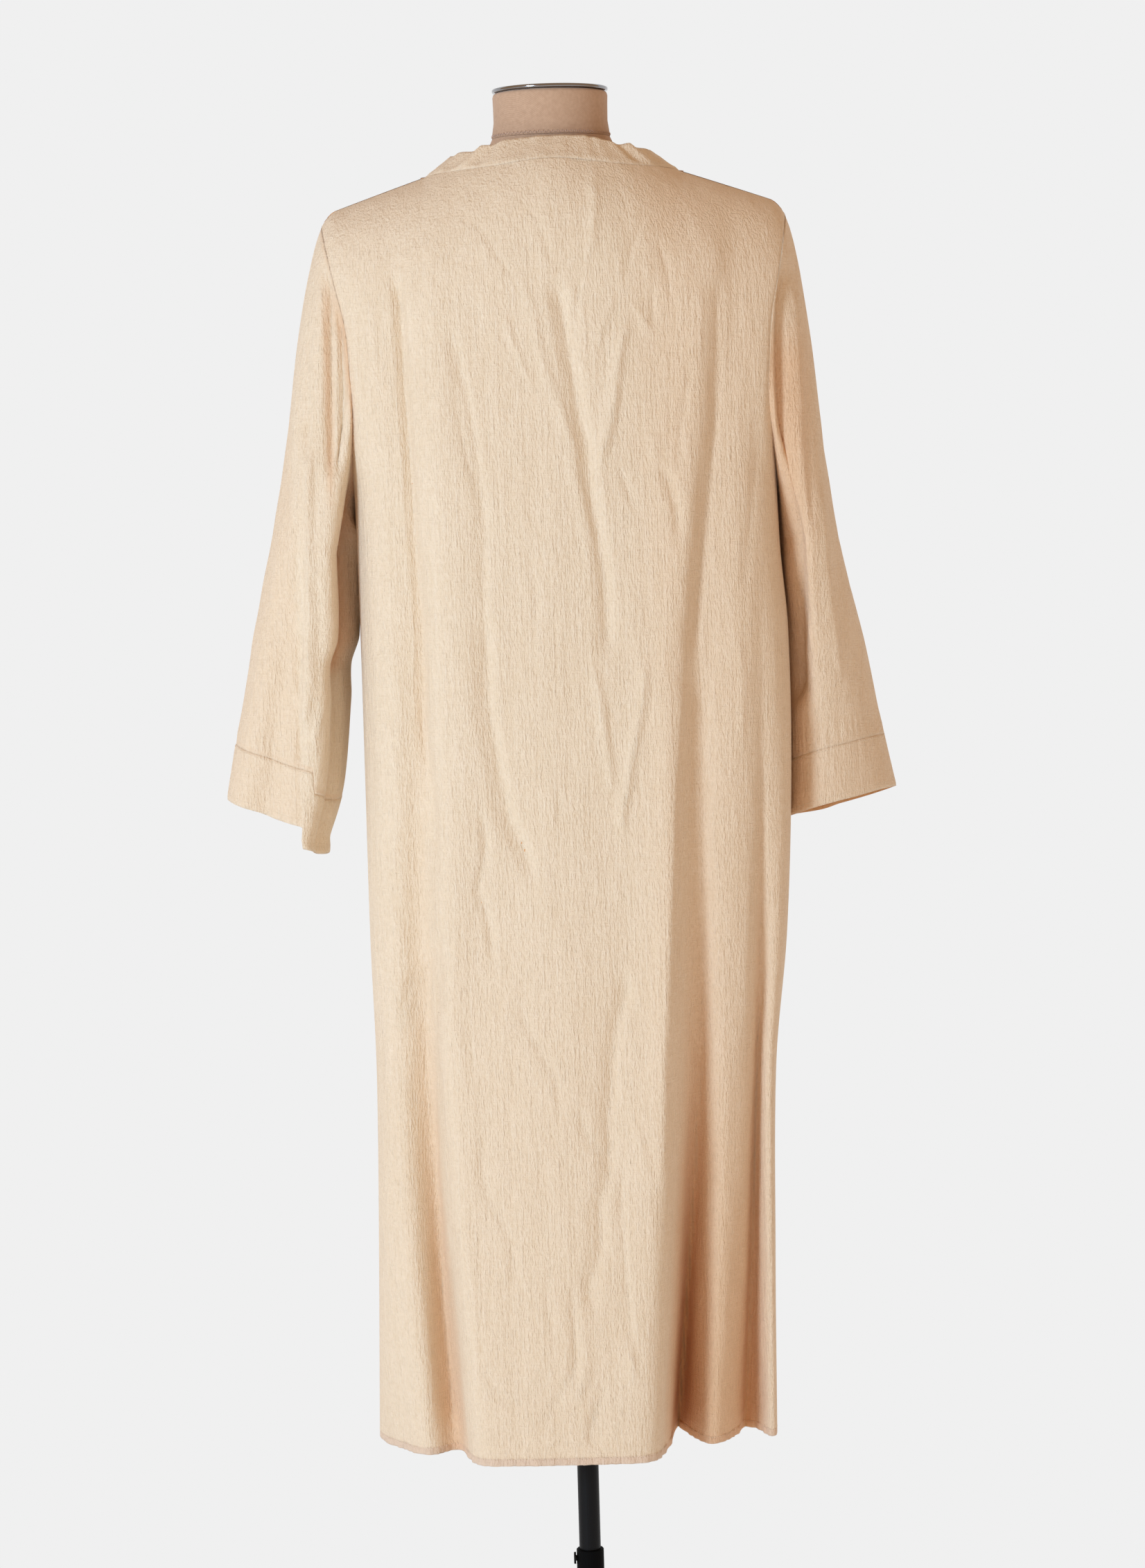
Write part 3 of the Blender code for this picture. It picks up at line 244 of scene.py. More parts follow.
SLEEVE_FOLDS = {
    "left": (
        # name            turn    reach   above    below
        ("back ridge",    120.0,  18.0,  -0.0040, -0.0100),
        ("back hollow",    78.0,  20.0,   0.0040,  0.0120),
        ("inner hollow",  154.0,  15.0,   0.0340,  0.0080),
        ("inner fullness", 205.0, 16.0,  -0.0060, -0.0040),
        ("front valley",  240.0,  18.0,   0.0040,  0.0100),
    ),
    "right": (
        ("back hollow",    60.0,  24.0,   0.0010,  0.0020),
        ("back ridge",    112.0,  22.0,  -0.0020, -0.0030),
        ("inner fullness", 205.0, 16.0,  -0.0070, -0.0040),
        ("front valley",  250.0,  20.0,   0.0040,  0.0100),
    ),
}
# How much each sleeve's outer side lies further to the front than its inner side
SLEEVE_SHEAR = {"left": 0.0, "right": 0.42}
# How far the left sleeve's near fold hangs lower at the cuff
SLEEVE_SAG = {"left": 0.021, "right": 0.0}
# How far each cuff's front side hangs lower than its back
CUFF_FRONT_DROP = {"left": 0.0, "right": 0.013}
CUFF_SEAM_Z = {"left": 1.120, "right": 1.122}
CUFF_TILT = {"left": 0.34, "right": 0.21}
CUFF_DEPTH = 0.056

COLLAR_WAVES = (
    # x      reach   inward depth
    (-0.104, 0.0060, -0.0022),
    (-0.092, 0.0050, 0.0022),
    (-0.078, 0.0060, -0.0012),
    (0.090, 0.0060, -0.0022),
    (0.102, 0.0050, 0.0024),
    (0.114, 0.0050, -0.0014),
    (0.040, 0.0050, 0.0012),
)
# Sleeve creases as seen from the back, then those of the front side
SLEEVE_BACK_CREASES = {
    "left": (
        ("seam fold", 0.0160, 0.0060, 0.0110, ((-0.216, 1.640), (-0.213, 1.615), (-0.212, 1.567),
            (-0.212, 1.520), (-0.212, 1.465), (-0.215, 1.431), (-0.219, 1.404))),
        ("underside layer", 0.0040, 0.0090, -0.0110, ((-0.216, 1.372), (-0.211, 1.327), (-0.208, 1.286),
            (-0.204, 1.248))),
        ("fold line", 0.0090, 0.0060, 0.0080, ((-0.225, 1.615), (-0.224, 1.567), (-0.224, 1.520),
            (-0.225, 1.465), (-0.228, 1.404))),
        ("near fold crest", 0.0140, 0.0080, -0.0060, ((-0.247, 1.439), (-0.250, 1.384), (-0.251, 1.315),
            (-0.252, 1.246), (-0.256, 1.191), (-0.262, 1.150))),
        ("near fold start", 0.0120, 0.0050, 0.0030, ((-0.244, 1.560), (-0.248, 1.480), (-0.252, 1.380),
            (-0.256, 1.300), (-0.260, 1.260))),
        ("near fold edge", 0.0100, 0.0040, 0.0060, ((-0.260, 1.260), (-0.263, 1.219), (-0.265, 1.178),
            (-0.266, 1.136), (-0.268, 1.072))),
        ("elbow", 0.0060, 0.0060, 0.0018, ((-0.242, 1.493), (-0.248, 1.459), (-0.254, 1.432))),
        ("cross left", 0.0050, 0.0050, -0.0020, ((-0.274, 1.219), (-0.267, 1.185), (-0.259, 1.150))),
        ("cross right", 0.0050, 0.0050, -0.0020, ((-0.240, 1.184), (-0.249, 1.156), (-0.254, 1.132))),
        ("outer soft", 0.0140, 0.0100, 0.0030, ((-0.262, 1.439), (-0.272, 1.371), (-0.281, 1.302),
            (-0.292, 1.234))),
        ("outer crease", 0.0060, 0.0060, 0.0020, ((-0.300, 1.241), (-0.307, 1.193), (-0.315, 1.158))),
    ),
    "right": (
        ("beside body", 0.0060, 0.0200, 0.0130, ((0.226, 1.610), (0.221, 1.560), (0.219, 1.500),
            (0.220, 1.440), (0.224, 1.380), (0.229, 1.320), (0.230, 1.240), (0.230, 1.160))),
        ("inner crease", 0.0060, 0.0080, 0.0026, ((0.232, 1.426), (0.235, 1.356), (0.236, 1.286),
            (0.236, 1.216))),
        ("upper soft", 0.0100, 0.0080, 0.0020, ((0.248, 1.523), (0.249, 1.439), (0.250, 1.342))),
        ("lower soft", 0.0100, 0.0080, -0.0022, ((0.259, 1.383), (0.262, 1.314), (0.270, 1.243),
            (0.277, 1.180))),
        ("cross", 0.0050, 0.0050, -0.0018, ((0.239, 1.258), (0.246, 1.223), (0.255, 1.188))),
        ("low crease", 0.0060, 0.0060, 0.0018, ((0.291, 1.243), (0.298, 1.201), (0.303, 1.158))),
    ),
}
SLEEVE_FRONT_CREASES = {
    "left": (
        ("slant", 0.0090, 0.0120, 0.0030, ((-0.262, 1.440), (-0.268, 1.340), (-0.280, 1.240))),
        ("ridge", 0.0080, 0.0090, -0.0024, ((-0.290, 1.300), (-0.298, 1.230), (-0.302, 1.160))),
        ("short", 0.0060, 0.0060, 0.0020, ((-0.250, 1.220), (-0.256, 1.180), (-0.258, 1.140))),
    ),
    "right": (
        ("slant", 0.0090, 0.0120, 0.0030, ((0.250, 1.460), (0.256, 1.360), (0.268, 1.250))),
        ("ridge", 0.0080, 0.0090, -0.0024, ((0.282, 1.320), (0.290, 1.240), (0.296, 1.170))),
        ("short", 0.0060, 0.0060, 0.0020, ((0.246, 1.240), (0.250, 1.200), (0.252, 1.150))),
    ),
}

# Fine relief of the cotton: waves in a metre across the warp and along it, and their height
BROAD_CRINKLE = (42, 8, 0.00110)
FINE_CRINKLE = (110, 26, 0.00045)
CRINKLE_SHIFT = (3.7, 1.3, 5.1)
PANEL_EDGE_FADE = 0.010  # the relief fades over this beside a panel's seams
HEM_STEP = 0.0016        # height of the step up to the turned hem
HEM_PUCKERS = 800.0
HEM_PUCKER_DRIFT = 170.0
GATHER_HEIGHT = 0.0006   # gathers of the sleeves above the cuffs
GATHER_COUNT = 38
GATHER_ROWS = 16

# Painted shade of the panels, warm and dark, deep in a fold and on the back's right side away from the key
# light; the same warm tone a little lower down
FOLD_SHADE_START = 0.012
FOLD_SHADE_REACH = 0.100
LOW_TINT = 0.05
LOW_TINT_Z = 1.15
LOW_TINT_FADE = 0.40
RIGHT_SIDE_SHADE = 0.13
RIGHT_SIDE_SHADE_X = 0.050
RIGHT_SIDE_SHADE_FADE = 0.070

# Painted shade of the left sleeve, warm and dark: on its outer side, in its fold line, along its seam and in
# its hollow
OUTER_SHADE = 0.09
OUTER_SHADE_X = -0.262
FOLD_LINE_SHADE = 0.34
FOLD_LINE_X = -0.2270
FOLD_LINE_REACH = 0.0040
SEAM_LINE_SHADE = 0.46
SEAM_LINE_ROWS = 9.0
HOLLOW_TURN = 152.0
HOLLOW_REACH = 17.0
# Painted shade of the right sleeve, warm and dark: all over, and more of it as a painted shadow of the body
# beside it
RIGHT_SLEEVE_SHADE = 0.14
BODY_SHADOW = 0.34
BODY_SIDE_X = 0.262
BODY_SIDE_REACH = 0.034

SAND_LIGHT = (0.965, 0.822, 0.645)
SAND_DARK = (0.785, 0.602, 0.392)
# Warm colours of the painted shade in the folds, at the seams, on the sleeves and inside the dress, pale to
# deep
PAINTED_SHADE_PALE = (0.84, 0.45, 0.20)
PAINTED_SHADE_DEEP = (0.70, 0.34, 0.13)
HEM_BROWN = (0.72, 0.52, 0.40)
CREPE_DEPTH = 0.0021
ROSE_LIGHT = (0.67, 0.46, 0.31)
ROSE_DARK = (0.44, 0.27, 0.17)
TWILL_DEPTH = 0.00025

# The neck's cover from its foot to its top, and the cap on it
NECK_LOW = 1.7370
NECK_HIGH = 1.7820
NECK_RINGS = (
    # share  half width  half depth
    (0.0, 0.0590, 0.0560),
    (0.02, 0.0592, 0.0562),
    (0.35, 0.0570, 0.0550),
    (0.70, 0.0572, 0.0556),
    (0.90, 0.0575, 0.0560),
    (0.955, 0.0568, 0.0553),
    (0.985, 0.0555, 0.0540),
    (1.0, 0.0530, 0.0515),
)
CAP_LOW = 1.7823
CAP_THICKNESS = 0.0035
CAP_RADIUS = 0.0580
CAP_ROUNDING = (
    # inset  height from the rim
    (0.0010, 0.0),
    (0.0003, 0.0004),
    (0.0, 0.0012),
)

# Stitches by length, width and height
STITCH_SIZE = (0.0026, 0.0008, 0.00028)
STITCH_PITCH = 0.0032
COLLAR_STITCH_PITCH = 0.0030
HEM_STITCH_RISE = 0.0068
ZIGZAG_STITCH_SIZE = (0.0040, 0.0008, 0.0004)
ZIGZAG_OVAL = (0.0593, 0.0563)
ZIGZAG_POINTS = 160
ZIGZAG_FOOT = 0.0006
ZIGZAG_LIFT = 0.0016
ZIGZAG_RISE = 0.0014

# How finely the cloth is cut into a grid
SHOULDER_ROWS = 88
SKIRT_ROWS = 132
HEM_ROWS = 8
SHOULDER_COLUMNS = 28
BACK_NECK_COLUMNS = 146
FRONT_NECK_COLUMNS = 130
SECTION_SAMPLES = 240
THREAD_TURN_LOW = 1.12
THREAD_TURN_HIGH = 1.58
EDGE_STRETCH = 4.0
ARMHOLE_FAN_ROWS = 64
SLEEVE_ROWS = 72
CUFF_ROWS = 18
BAND_ROWS = 12
CUFF_STITCH_ROWS = (1, CUFF_ROWS - 2)
COLLAR_STITCH_ROWS = (2, BAND_ROWS - 1)


# Cloth shapes

def ease(t):
    """0 below 0, 1 above 1, and a soft step between."""
    t = np.clip(t, 0.0, 1.0)
    return t * t * (3.0 - 2.0 * t)


def mix(a, b, t):
    return a + (b - a) * t


def at_height(rows, z, column):
    """A smooth curve through one column of a table whose first column is the height."""
    table = np.array(sorted(tuple(row) for row in rows), dtype=float)
    heights, values = table[:, 0], table[:, column]
    last = len(heights) - 1
    place = np.arange(last + 1)
    low, high = np.maximum(place - 1, 0), np.minimum(place + 1, last)
    slopes = (values[high] - values[low]) / (heights[high] - heights[low])
    z = np.clip(z, heights[0], heights[-1])
    i = np.clip(np.searchsorted(heights, z, side="right") - 1, 0, last - 1)
    span = heights[i + 1] - heights[i]
    t = (z - heights[i]) / span
    return ((2 * t ** 3 - 3 * t ** 2 + 1) * values[i] + (t ** 3 - 2 * t ** 2 + t) * span * slopes[i]
            + (3 * t ** 2 - 2 * t ** 3) * values[i + 1] + (t ** 3 - t ** 2) * span * slopes[i + 1])


def ridge(x):
    """Height of the shoulder ridge over x, under the collar too."""
    x = np.abs(x)
    inside = NECK_POINT_Z + NECK_RISE * (math.hypot(NECK_POINT_X, NECK_ROUND) - np.hypot(x, NECK_ROUND))
    beyond_tip = np.maximum(0.0, x - TIP_ROUND_X)
    outside = NECK_POINT_Z - SHOULDER_FALL * (x - NECK_POINT_X) - TIP_ROUND * beyond_tip ** 2
    return np.where(x < NECK_POINT_X, inside, outside)


def roof(fall):
    """Share of the half depth that is reached after falling this share of the roof."""
    fall = np.clip(fall, 0.0, 1.0)
    return (1.0 - (1.0 - fall) ** ROOF_SQUARENESS) ** (1.0 / ROOF_SQUARENESS)


def roof_fall(share):
    share = np.clip(share, 0.0, 1.0)
    return 1.0 - (1.0 - share ** ROOF_SQUARENESS) ** (1.0 / ROOF_SQUARENESS)


def edge_share(z):
    """Share of the half depth at the panel's edge: 0 on the side seam, more at the armhole."""
    down = np.clip((ARMHOLE_MID_Z - z) / (ARMHOLE_MID_Z - UNDERARM_Z), 0.0, 1.0)
    return ARMHOLE_SIDE * np.sqrt(1.0 - down * down)


def full_width(side, z):
    return np.where(np.asarray(side) < 0, at_height(SECTIONS, z, 1), at_height(SECTIONS, z, 2))


def share_x(side, z, share):
    """Distance from the middle of the place where this share of the half depth is left."""
    n = at_height(SECTIONS, z, 5)
    return full_width(side, z) * (1.0 - share ** n) ** (1.0 / n)


def edge_x(side, z):
    """Distance of the panel's edge from the middle: the side seam, or the armhole above it."""
    return share_x(side, z, edge_share(z))


def side_share(x, z):
    n = at_height(SECTIONS, z, 5)
    reach = np.minimum(1.0, np.abs(x) / full_width(x, z))
    return (1.0 - reach ** n) ** (1.0 / n)


def soft_bump(distance, left, right):
    """1 at 0, falling to 0 over the left or the right reach."""
    return np.exp(-(distance / np.where(distance < 0, left, right)) ** 2)


def tent(distance, left, right):
    """1 at 0, falling to 0 in nearly straight sides over the left or the right reach."""
    distance = np.hypot(distance, 0.0012) * np.sign(distance)
    t = np.clip(1.0 - np.abs(distance) / np.where(distance < 0, left, right), 0.0, 1.0)
    return t * (0.5 + 0.5 * t)


def crease(x, z, left, right, course):
    """1 along a crease's course, falling beside it and at its ends."""
    line = [(height, place) for place, height in course]
    high, low = max(line)[0], min(line)[0]
    slope = (max(line)[1] - min(line)[1]) / (high - low)
    away = (x - at_height(line, z, 1)) / math.hypot(1.0, slope)
    end = min(0.030, 0.35 * (high - low))
    return tent(away, left, right) * ease((high - z) / end + 0.1) * ease((z - low) / end + 0.1)


def fold_depth(x, z, folds, creases):
    """Inward depth of every fold at a place on a panel, fading at the panel's edges.

    The cores count only together with the creases: threads are spaced without either."""
    edge_fade = ease((edge_x(x, z) - np.abs(x)) / 0.022)
    top_fade = ease((ridge(x) - z) / 0.09)
    shapes = [(soft_bump, fold) for fold in folds]
    if folds is BACK_FOLDS and creases:
        shapes += [(tent, core) for core in BACK_CORES]
    depth = 0.0
    for shape, (_, places, depths, left, right) in shapes:
        place = at_height(list(zip(FOLD_HEIGHTS, places)), z, 1)
        depth = depth + at_height(list(zip(FOLD_HEIGHTS, depths)), z, 1) * shape(x - place, left, right)
    depth = depth * top_fade
    near_top = ease((ridge(x) - z) / 0.030)
    for _, left, right, amount, course in creases:
        depth = depth + amount * crease(x, z, left, right, course) * near_top
    return depth * edge_fade


def sway(x, z):
    swing = np.where(np.asarray(x) < 0, at_height(SIDE_SWAY, z, 1), at_height(SIDE_SWAY, z, 2))
    return swing * ease((np.abs(x) / edge_x(x, z) - 0.55) / 0.45)


def panel_y(x, z, facing, creases=()):
    """The cloth's outer face at x, z: facing -1 for the back panel and 1 for the front."""
    depth_column, folds = (3, BACK_FOLDS) if facing < 0 else (4, FRONT_FOLDS)
    depth = at_height(SECTIONS, z, depth_column) * side_share(x, z) * roof((ridge(x) - z) / ROOF_DROP)
    return facing * (depth - fold_depth(x, z, folds, creases)) + sway(x, z)


def neckline(facing, t):
    """The neckline seam from a neck point, t 0, to the middle, t 1, as x and z."""
    if facing > 0:
        return NECK_POINT_X * (1.0 - t ** FRONT_NECK_CURVE), NECK_POINT_Z - FRONT_NECK_DROP * t
    turn = t * math.pi / 2
    x = NECK_POINT_X * np.cos(turn)
    depth = at_height(SECTIONS, NECK_POINT_Z, 3) * side_share(x, NECK_POINT_Z)
    return x, ridge(x) - ROOF_DROP * roof_fall(BACK_NECK_Y * np.sin(turn) / depth)


def top_edge(facing, neck_columns):
    """The panel's top edge from left to right as x and z: shoulder, neckline, shoulder."""
    half = neck_columns // 2
    shoulder = mix(edge_x(-1, TIP_Z), NECK_POINT_X, np.arange(SHOULDER_COLUMNS) / SHOULDER_COLUMNS)
    neck_x, neck_z = neckline(facing, np.arange(half + 1) / half)
    x = np.concatenate([shoulder, neck_x])
    z = np.concatenate([ridge(shoulder), neck_z])
    return np.concatenate([-x, x[-2::-1]]), np.concatenate([z, z[-2::-1]])


def section_threads(level, edge_level, facing, count):
    """x of count + 1 threads across the cloth's section, even but for the armhole's cut."""
    spread = 0.5 - 0.5 * np.cos(math.pi * np.arange(SECTION_SAMPLES + 1) / SECTION_SAMPLES)
    xs = mix(-full_width(-1, level), full_width(1, level), spread)
    ys = panel_y(xs, np.full_like(xs, level), facing)
    lengths = np.concatenate([[0.0], np.cumsum(np.hypot(np.diff(xs), np.diff(ys)))])
    middle = np.interp(0.0, xs, lengths)
    inner_share = ARMHOLE_SIDE * ease((level - THREAD_TURN_LOW) / (THREAD_TURN_HIGH - THREAD_TURN_LOW))
    out = np.linspace(-1.0, 1.0, count + 1)

    def from_middle(share):
        """How far along the cloth this share of the half depth lies, for each thread."""
        left, right = (np.interp(side * share_x(side, level, share), xs, lengths) - middle for side in (-1, 1))
        return np.where(out < 0, left, right)

    inner, edge = from_middle(inner_share), from_middle(edge_share(edge_level))
    along = np.abs(out) * inner + (edge - inner) * np.abs(out) ** EDGE_STRETCH
    return np.interp(middle + along, lengths, xs)


def panel_grid(facing, neck_columns, creases):
    """Outer points of a panel, row by row from the top edge to the hem."""
    top_x, top_z = top_edge(facing, neck_columns)
    count = len(top_x) - 1
    out = np.linspace(-1.0, 1.0, count + 1)
    side = np.where(out < 0, -1.0, 1.0)
    at_edge = np.abs(out) > 1.0 - 1e-9
    near_edge = np.abs(out) ** 4
    inside_neck = np.abs(top_x) < NECK_POINT_X - 1e-6
    y = np.where(inside_neck, panel_y(top_x, top_z, facing, creases), 0.0)
    rows = [np.stack([top_x, y, top_z], 1)]
    hem_top = HEM_Z + 1.6 * HEM_TURN
    levels = [mix(UNDERARM_Z, hem_top, k / SKIRT_ROWS) for k in range(1, SKIRT_ROWS + 1)]
    levels += [mix(hem_top, HEM_Z, k / HEM_ROWS) for k in range(1, HEM_ROWS + 1)]
    steps = [(r / SHOULDER_ROWS, None) for r in range(1, SHOULDER_ROWS + 1)]
    steps += [(1.0, level) for level in levels]
    for share, level in steps:
        if level is None:
            middle_fall = share ** 1.5
            edge_fall = 0.5 - 0.5 * math.cos(math.pi * share)
            level = mix(top_z[count // 2], UNDERARM_Z, middle_fall)
            edge_level = mix(TIP_Z, UNDERARM_Z, edge_fall)
            z = mix(top_z, UNDERARM_Z, mix(middle_fall, edge_fall, near_edge))
        else:
            edge_level = level
            z = np.full(count + 1, level)
        threads = section_threads(level, edge_level, facing, count)
        own_thread = threads / full_width(side, level) * full_width(side, z)
        from_top = top_x / edge_x(side, TIP_Z) * edge_x(side, z)
        x = mix(from_top, own_thread, ease(share / 0.6))
        z = np.where(at_edge, edge_level, z)
        x = np.where(at_edge, side * edge_x(side, z), x)
        rows.append(np.stack([x, panel_y(x, z, facing, creases), z], 1))
    grid = np.array(rows)
    grid[:, :, 1] += facing * SEAM_GAP / 2
    return grid


def unit(vectors):
    return vectors / np.maximum(np.linalg.norm(vectors, axis=-1, keepdims=True), 1e-12)


def grid_normals(grid, ring):
    """A unit normal at each point of a grid, from its neighbours."""
    if ring:
        across = np.roll(grid, -1, 1) - np.roll(grid, 1, 1)
    else:
        across = np.gradient(grid, axis=1)
    return unit(np.cross(across, np.gradient(grid, axis=0)))


def crinkle(points, seed):
    """Height of the cotton's uneven crinkle, long in the warp, at points of the cloth."""
    shift = Vector([seed * part for part in CRINKLE_SHIFT])
    height = np.zeros(points.shape[0] * points.shape[1])
    for across, along, amount in (BROAD_CRINKLE, FINE_CRINKLE):
        for k, (x, y, z) in enumerate(points.reshape(-1, 3)):
            height[k] += amount * noise.noise(Vector((x * across, y * across, z * along)) + shift)
    return height.reshape(points.shape[:2])


def make_cloth(name, grid, inward, ring, material, thickness=CLOTH):
    """A closed cloth wall between a grid of outer points and the same grid moved inward."""
    height, width = grid.shape[:2]
    outer = grid.reshape(-1, 3)
    inner = outer + inward.reshape(-1, 3) * thickness
    number = np.arange(height * width).reshape(height, width)
    right = np.roll(number, -1, 1) if ring else number[:, 1:]
    left = number if ring else number[:, :-1]
    quads = np.stack([left[:-1], right[:-1], right[1:], left[1:]], -1).reshape(-1, 4)
    shift = height * width
    faces = [quads, (quads + shift)[:, ::-1]]
    for r, flip in ((0, False), (-1, True)):
        rim = np.stack([right[r], left[r], left[r] + shift, right[r] + shift], -1)
        faces.append(rim[:, ::-1] if flip else rim)
    if not ring:
        for c, flip in ((0, True), (-1, False)):
            line = number[:, c]
            rim = np.stack([line[:-1], line[1:], line[1:] + shift, line[:-1] + shift], -1)
            faces.append(rim[:, ::-1] if not flip else rim)
    return make_piece(name, np.concatenate([outer, inner]).tolist(), np.concatenate(faces).tolist(), material)


def make_piece(name, points, faces, material):
    """A mesh with its faces turned outward, as a piece of the scene."""
    mesh = bpy.data.meshes.new(name)
    mesh.from_pydata(points, [], faces)
    bm = bmesh.new()
    bm.from_mesh(mesh)
    bmesh.ops.recalc_face_normals(bm, faces=bm.faces)
    if bm.calc_volume(signed=True) < 0:
        bmesh.ops.reverse_faces(bm, faces=bm.faces)
    bm.to_mesh(mesh)
    bm.free()
    mesh.materials.append(material)
    mesh.shade_smooth()
    piece = bpy.data.objects.new(name, mesh)
    bpy.context.scene.collection.objects.link(piece)
    return piece


def build_panel(name, facing, neck_columns, creases, seed, material):
    grid = panel_grid(facing, neck_columns, creases)
    inward = grid_normals(grid, False)
    inward[inward[:, :, 1] * facing > 0] *= -1.0
    x, z = grid[:, :, 0], grid[:, :, 2]
    side = np.sign(x)
    clear = ease((edge_x(side, z) - np.abs(x)) / PANEL_EDGE_FADE) * ease((ridge(x) - z) / PANEL_EDGE_FADE)
    clear[0] = 0.0
    turned_hem = ease((HEM_Z + HEM_TURN - z) / HEM_STEP)
    pucker = 0.5 + 0.5 * np.sin(x * HEM_PUCKERS + 3.0 * np.sin(x * HEM_PUCKER_DRIFT))
    outward = crinkle(grid, seed) * clear + HEM_BULK * turned_hem * pucker * clear
    grid = grid - inward * outward[:, :, None]
    for c, side in ((0, -1), (-1, 1)):
        turn = math.pi * np.arange(SHOULDER_ROWS + 1) / SHOULDER_ROWS
        inward[:SHOULDER_ROWS + 1, c] = np.stack([0 * turn, -facing * np.sin(turn), -np.cos(turn)], 1)
        inward[SHOULDER_ROWS:, c] = (-side, 0.0, 0.0)
    top_x = np.abs(grid[0, :, 0])
    lean = ease((NECK_POINT_X - top_x) / 0.05)[:, None]
    inward[0] = unit(mix(np.array((0.0, 0.0, -1.0)), inward[0], lean))
    piece = make_cloth(name, grid, inward, False, material)
    folds = BACK_FOLDS if facing < 0 else FRONT_FOLDS
    # Painted shade: warm and dark deep in the folds, on the back's right side and along the armhole seams; the
    # same tone a little lower down
    deep = np.clip((fold_depth(x, z, folds, creases) - FOLD_SHADE_START) / FOLD_SHADE_REACH, 0.0, 1.0)
    deep = np.maximum(deep, LOW_TINT * ease((LOW_TINT_Z - z) / LOW_TINT_FADE))
    if facing < 0:
        deep = np.clip(deep + RIGHT_SIDE_SHADE * ease((x - RIGHT_SIDE_SHADE_X) / RIGHT_SIDE_SHADE_FADE), 0.0, 1.0)
    deep[:SHOULDER_ROWS, (0, -1)] = SEAM_SHADE
    # The inner face inside the dress gets full painted shade
    paint_shade(piece, np.concatenate([deep.ravel(), np.ones(deep.size)]))
    return piece, grid, inward


def paint_shade(piece, values):
    """Keeps the painted shade of each point of the cloth in the attribute fold: 1 is full painted shade, deep
    in a fold and on the inner face inside the dress.
    """
    piece.data.attributes.new("fold", "FLOAT", "POINT").data.foreach_set("value", values.astype(np.float32))


def armhole_ring(side, back, front):
    """The seam ring from the shoulder tip down the back, and up the front."""
    c = 0 if side < 0 else -1
    ring = np.concatenate([back[:SHOULDER_ROWS + 1, c], front[SHOULDER_ROWS - 1:0:-1, c]])
    ring[0, 1] = 0.0
    ring[SHOULDER_ROWS, 1] = 0.0
    return ring


def sleeve_points(side_name, z, turn):
    """Points of the sleeve's own section, turn in radians from the outer side to the back."""
    rows = SLEEVE_SECTIONS[side_name]
    outer, inner, back, front = (at_height(rows, z, column) for column in (1, 2, 3, 4))
    half_width, half_depth = (outer - inner) / 2, (front - back) / 2
    power = 2.0 / SLEEVE_SQUARENESS
    across = np.sign(np.cos(turn)) * np.abs(np.cos(turn)) ** power
    behind = np.sign(np.sin(turn)) * np.abs(np.sin(turn)) ** power
    down = (rows[0][0] - z) / (rows[0][0] - rows[-1][0])
    depth = 0.0
    for _, place, reach, above, below in SLEEVE_FOLDS[side_name]:
        away = (np.degrees(turn) - place + 180.0) % 360.0 - 180.0
        depth = depth + mix(above, below, down) * np.exp(-(away / reach) ** 2)
    shrink = 1.0 - depth / np.minimum(half_width, half_depth)
    side = -1 if side_name == "left" else 1
    x = side * ((outer + inner) / 2 + across * half_width * shrink)
    swing = SLEEVE_SHEAR[side_name] * across * half_width * ease(down * 4.0 + 0.5)
    y = (front + back) / 2 - behind * half_depth * shrink + swing
    return np.stack([x, y, z], -1)


def sleeve_level(side_name, nominal, share, turn):
    rows = SLEEVE_SECTIONS[side_name]
    half_width = (at_height(rows, nominal, 1) - at_height(rows, nominal, 2)) / 2
    degrees = np.degrees(turn)
    sag = ease((degrees - 114.0) / 4.5) * ease((230.0 - degrees) / 40.0)
    front_side = 0.5 - 0.5 * np.sin(turn)
    tilt = CUFF_TILT[side_name] * half_width * np.cos(turn) - CUFF_FRONT_DROP[side_name] * front_side
    return nominal + share * (tilt - SLEEVE_SAG[side_name] * sag)


def sleeve_grids(side_name, back, front):
    side = -1 if side_name == "left" else 1
    ring = armhole_ring(side, back, front)
    turns = 2.0 * math.pi * np.arange(len(ring)) / len(ring)
    first_z = SLEEVE_SECTIONS[side_name][0][0]
    landing = sleeve_points(side_name, np.full_like(turns, first_z), turns)
    rows = [ring]
    for r in range(1, ARMHOLE_FAN_ROWS + 1):
        t = r / ARMHOLE_FAN_ROWS
        line = mix(ring, landing, t)
        line[:, 0] += side * SLEEVE_TOP_BULGE * t * (1.0 - t) ** 3 * 10.0 * np.maximum(0.0, np.cos(turns))
        rows.append(line)
    seam_z = CUFF_SEAM_Z[side_name]
    for r in range(1, SLEEVE_ROWS + 1):
        share = r / SLEEVE_ROWS
        level = sleeve_level(side_name, np.full_like(turns, mix(first_z, seam_z, share)), ease(share), turns)
        rows.append(sleeve_points(side_name, level, turns))
    cuff = []
    for r in range(CUFF_ROWS + 1):
        nominal = seam_z + SEAM_GAP - CUFF_DEPTH * r / CUFF_ROWS
        level = sleeve_level(side_name, np.full_like(turns, nominal), 1.0, turns)
        cuff.append(sleeve_points(side_name, level, turns))
    return np.array(rows), np.array(cuff)


def tube_inward(grid):
    """Inward directions of a tube's rings, away from the outer face."""
    normals = grid_normals(grid, True)
    middle = grid.mean(1, keepdims=True)
    away = ((middle - grid) * normals).sum(-1, keepdims=True)
    return np.where(away > 0, normals, -normals)


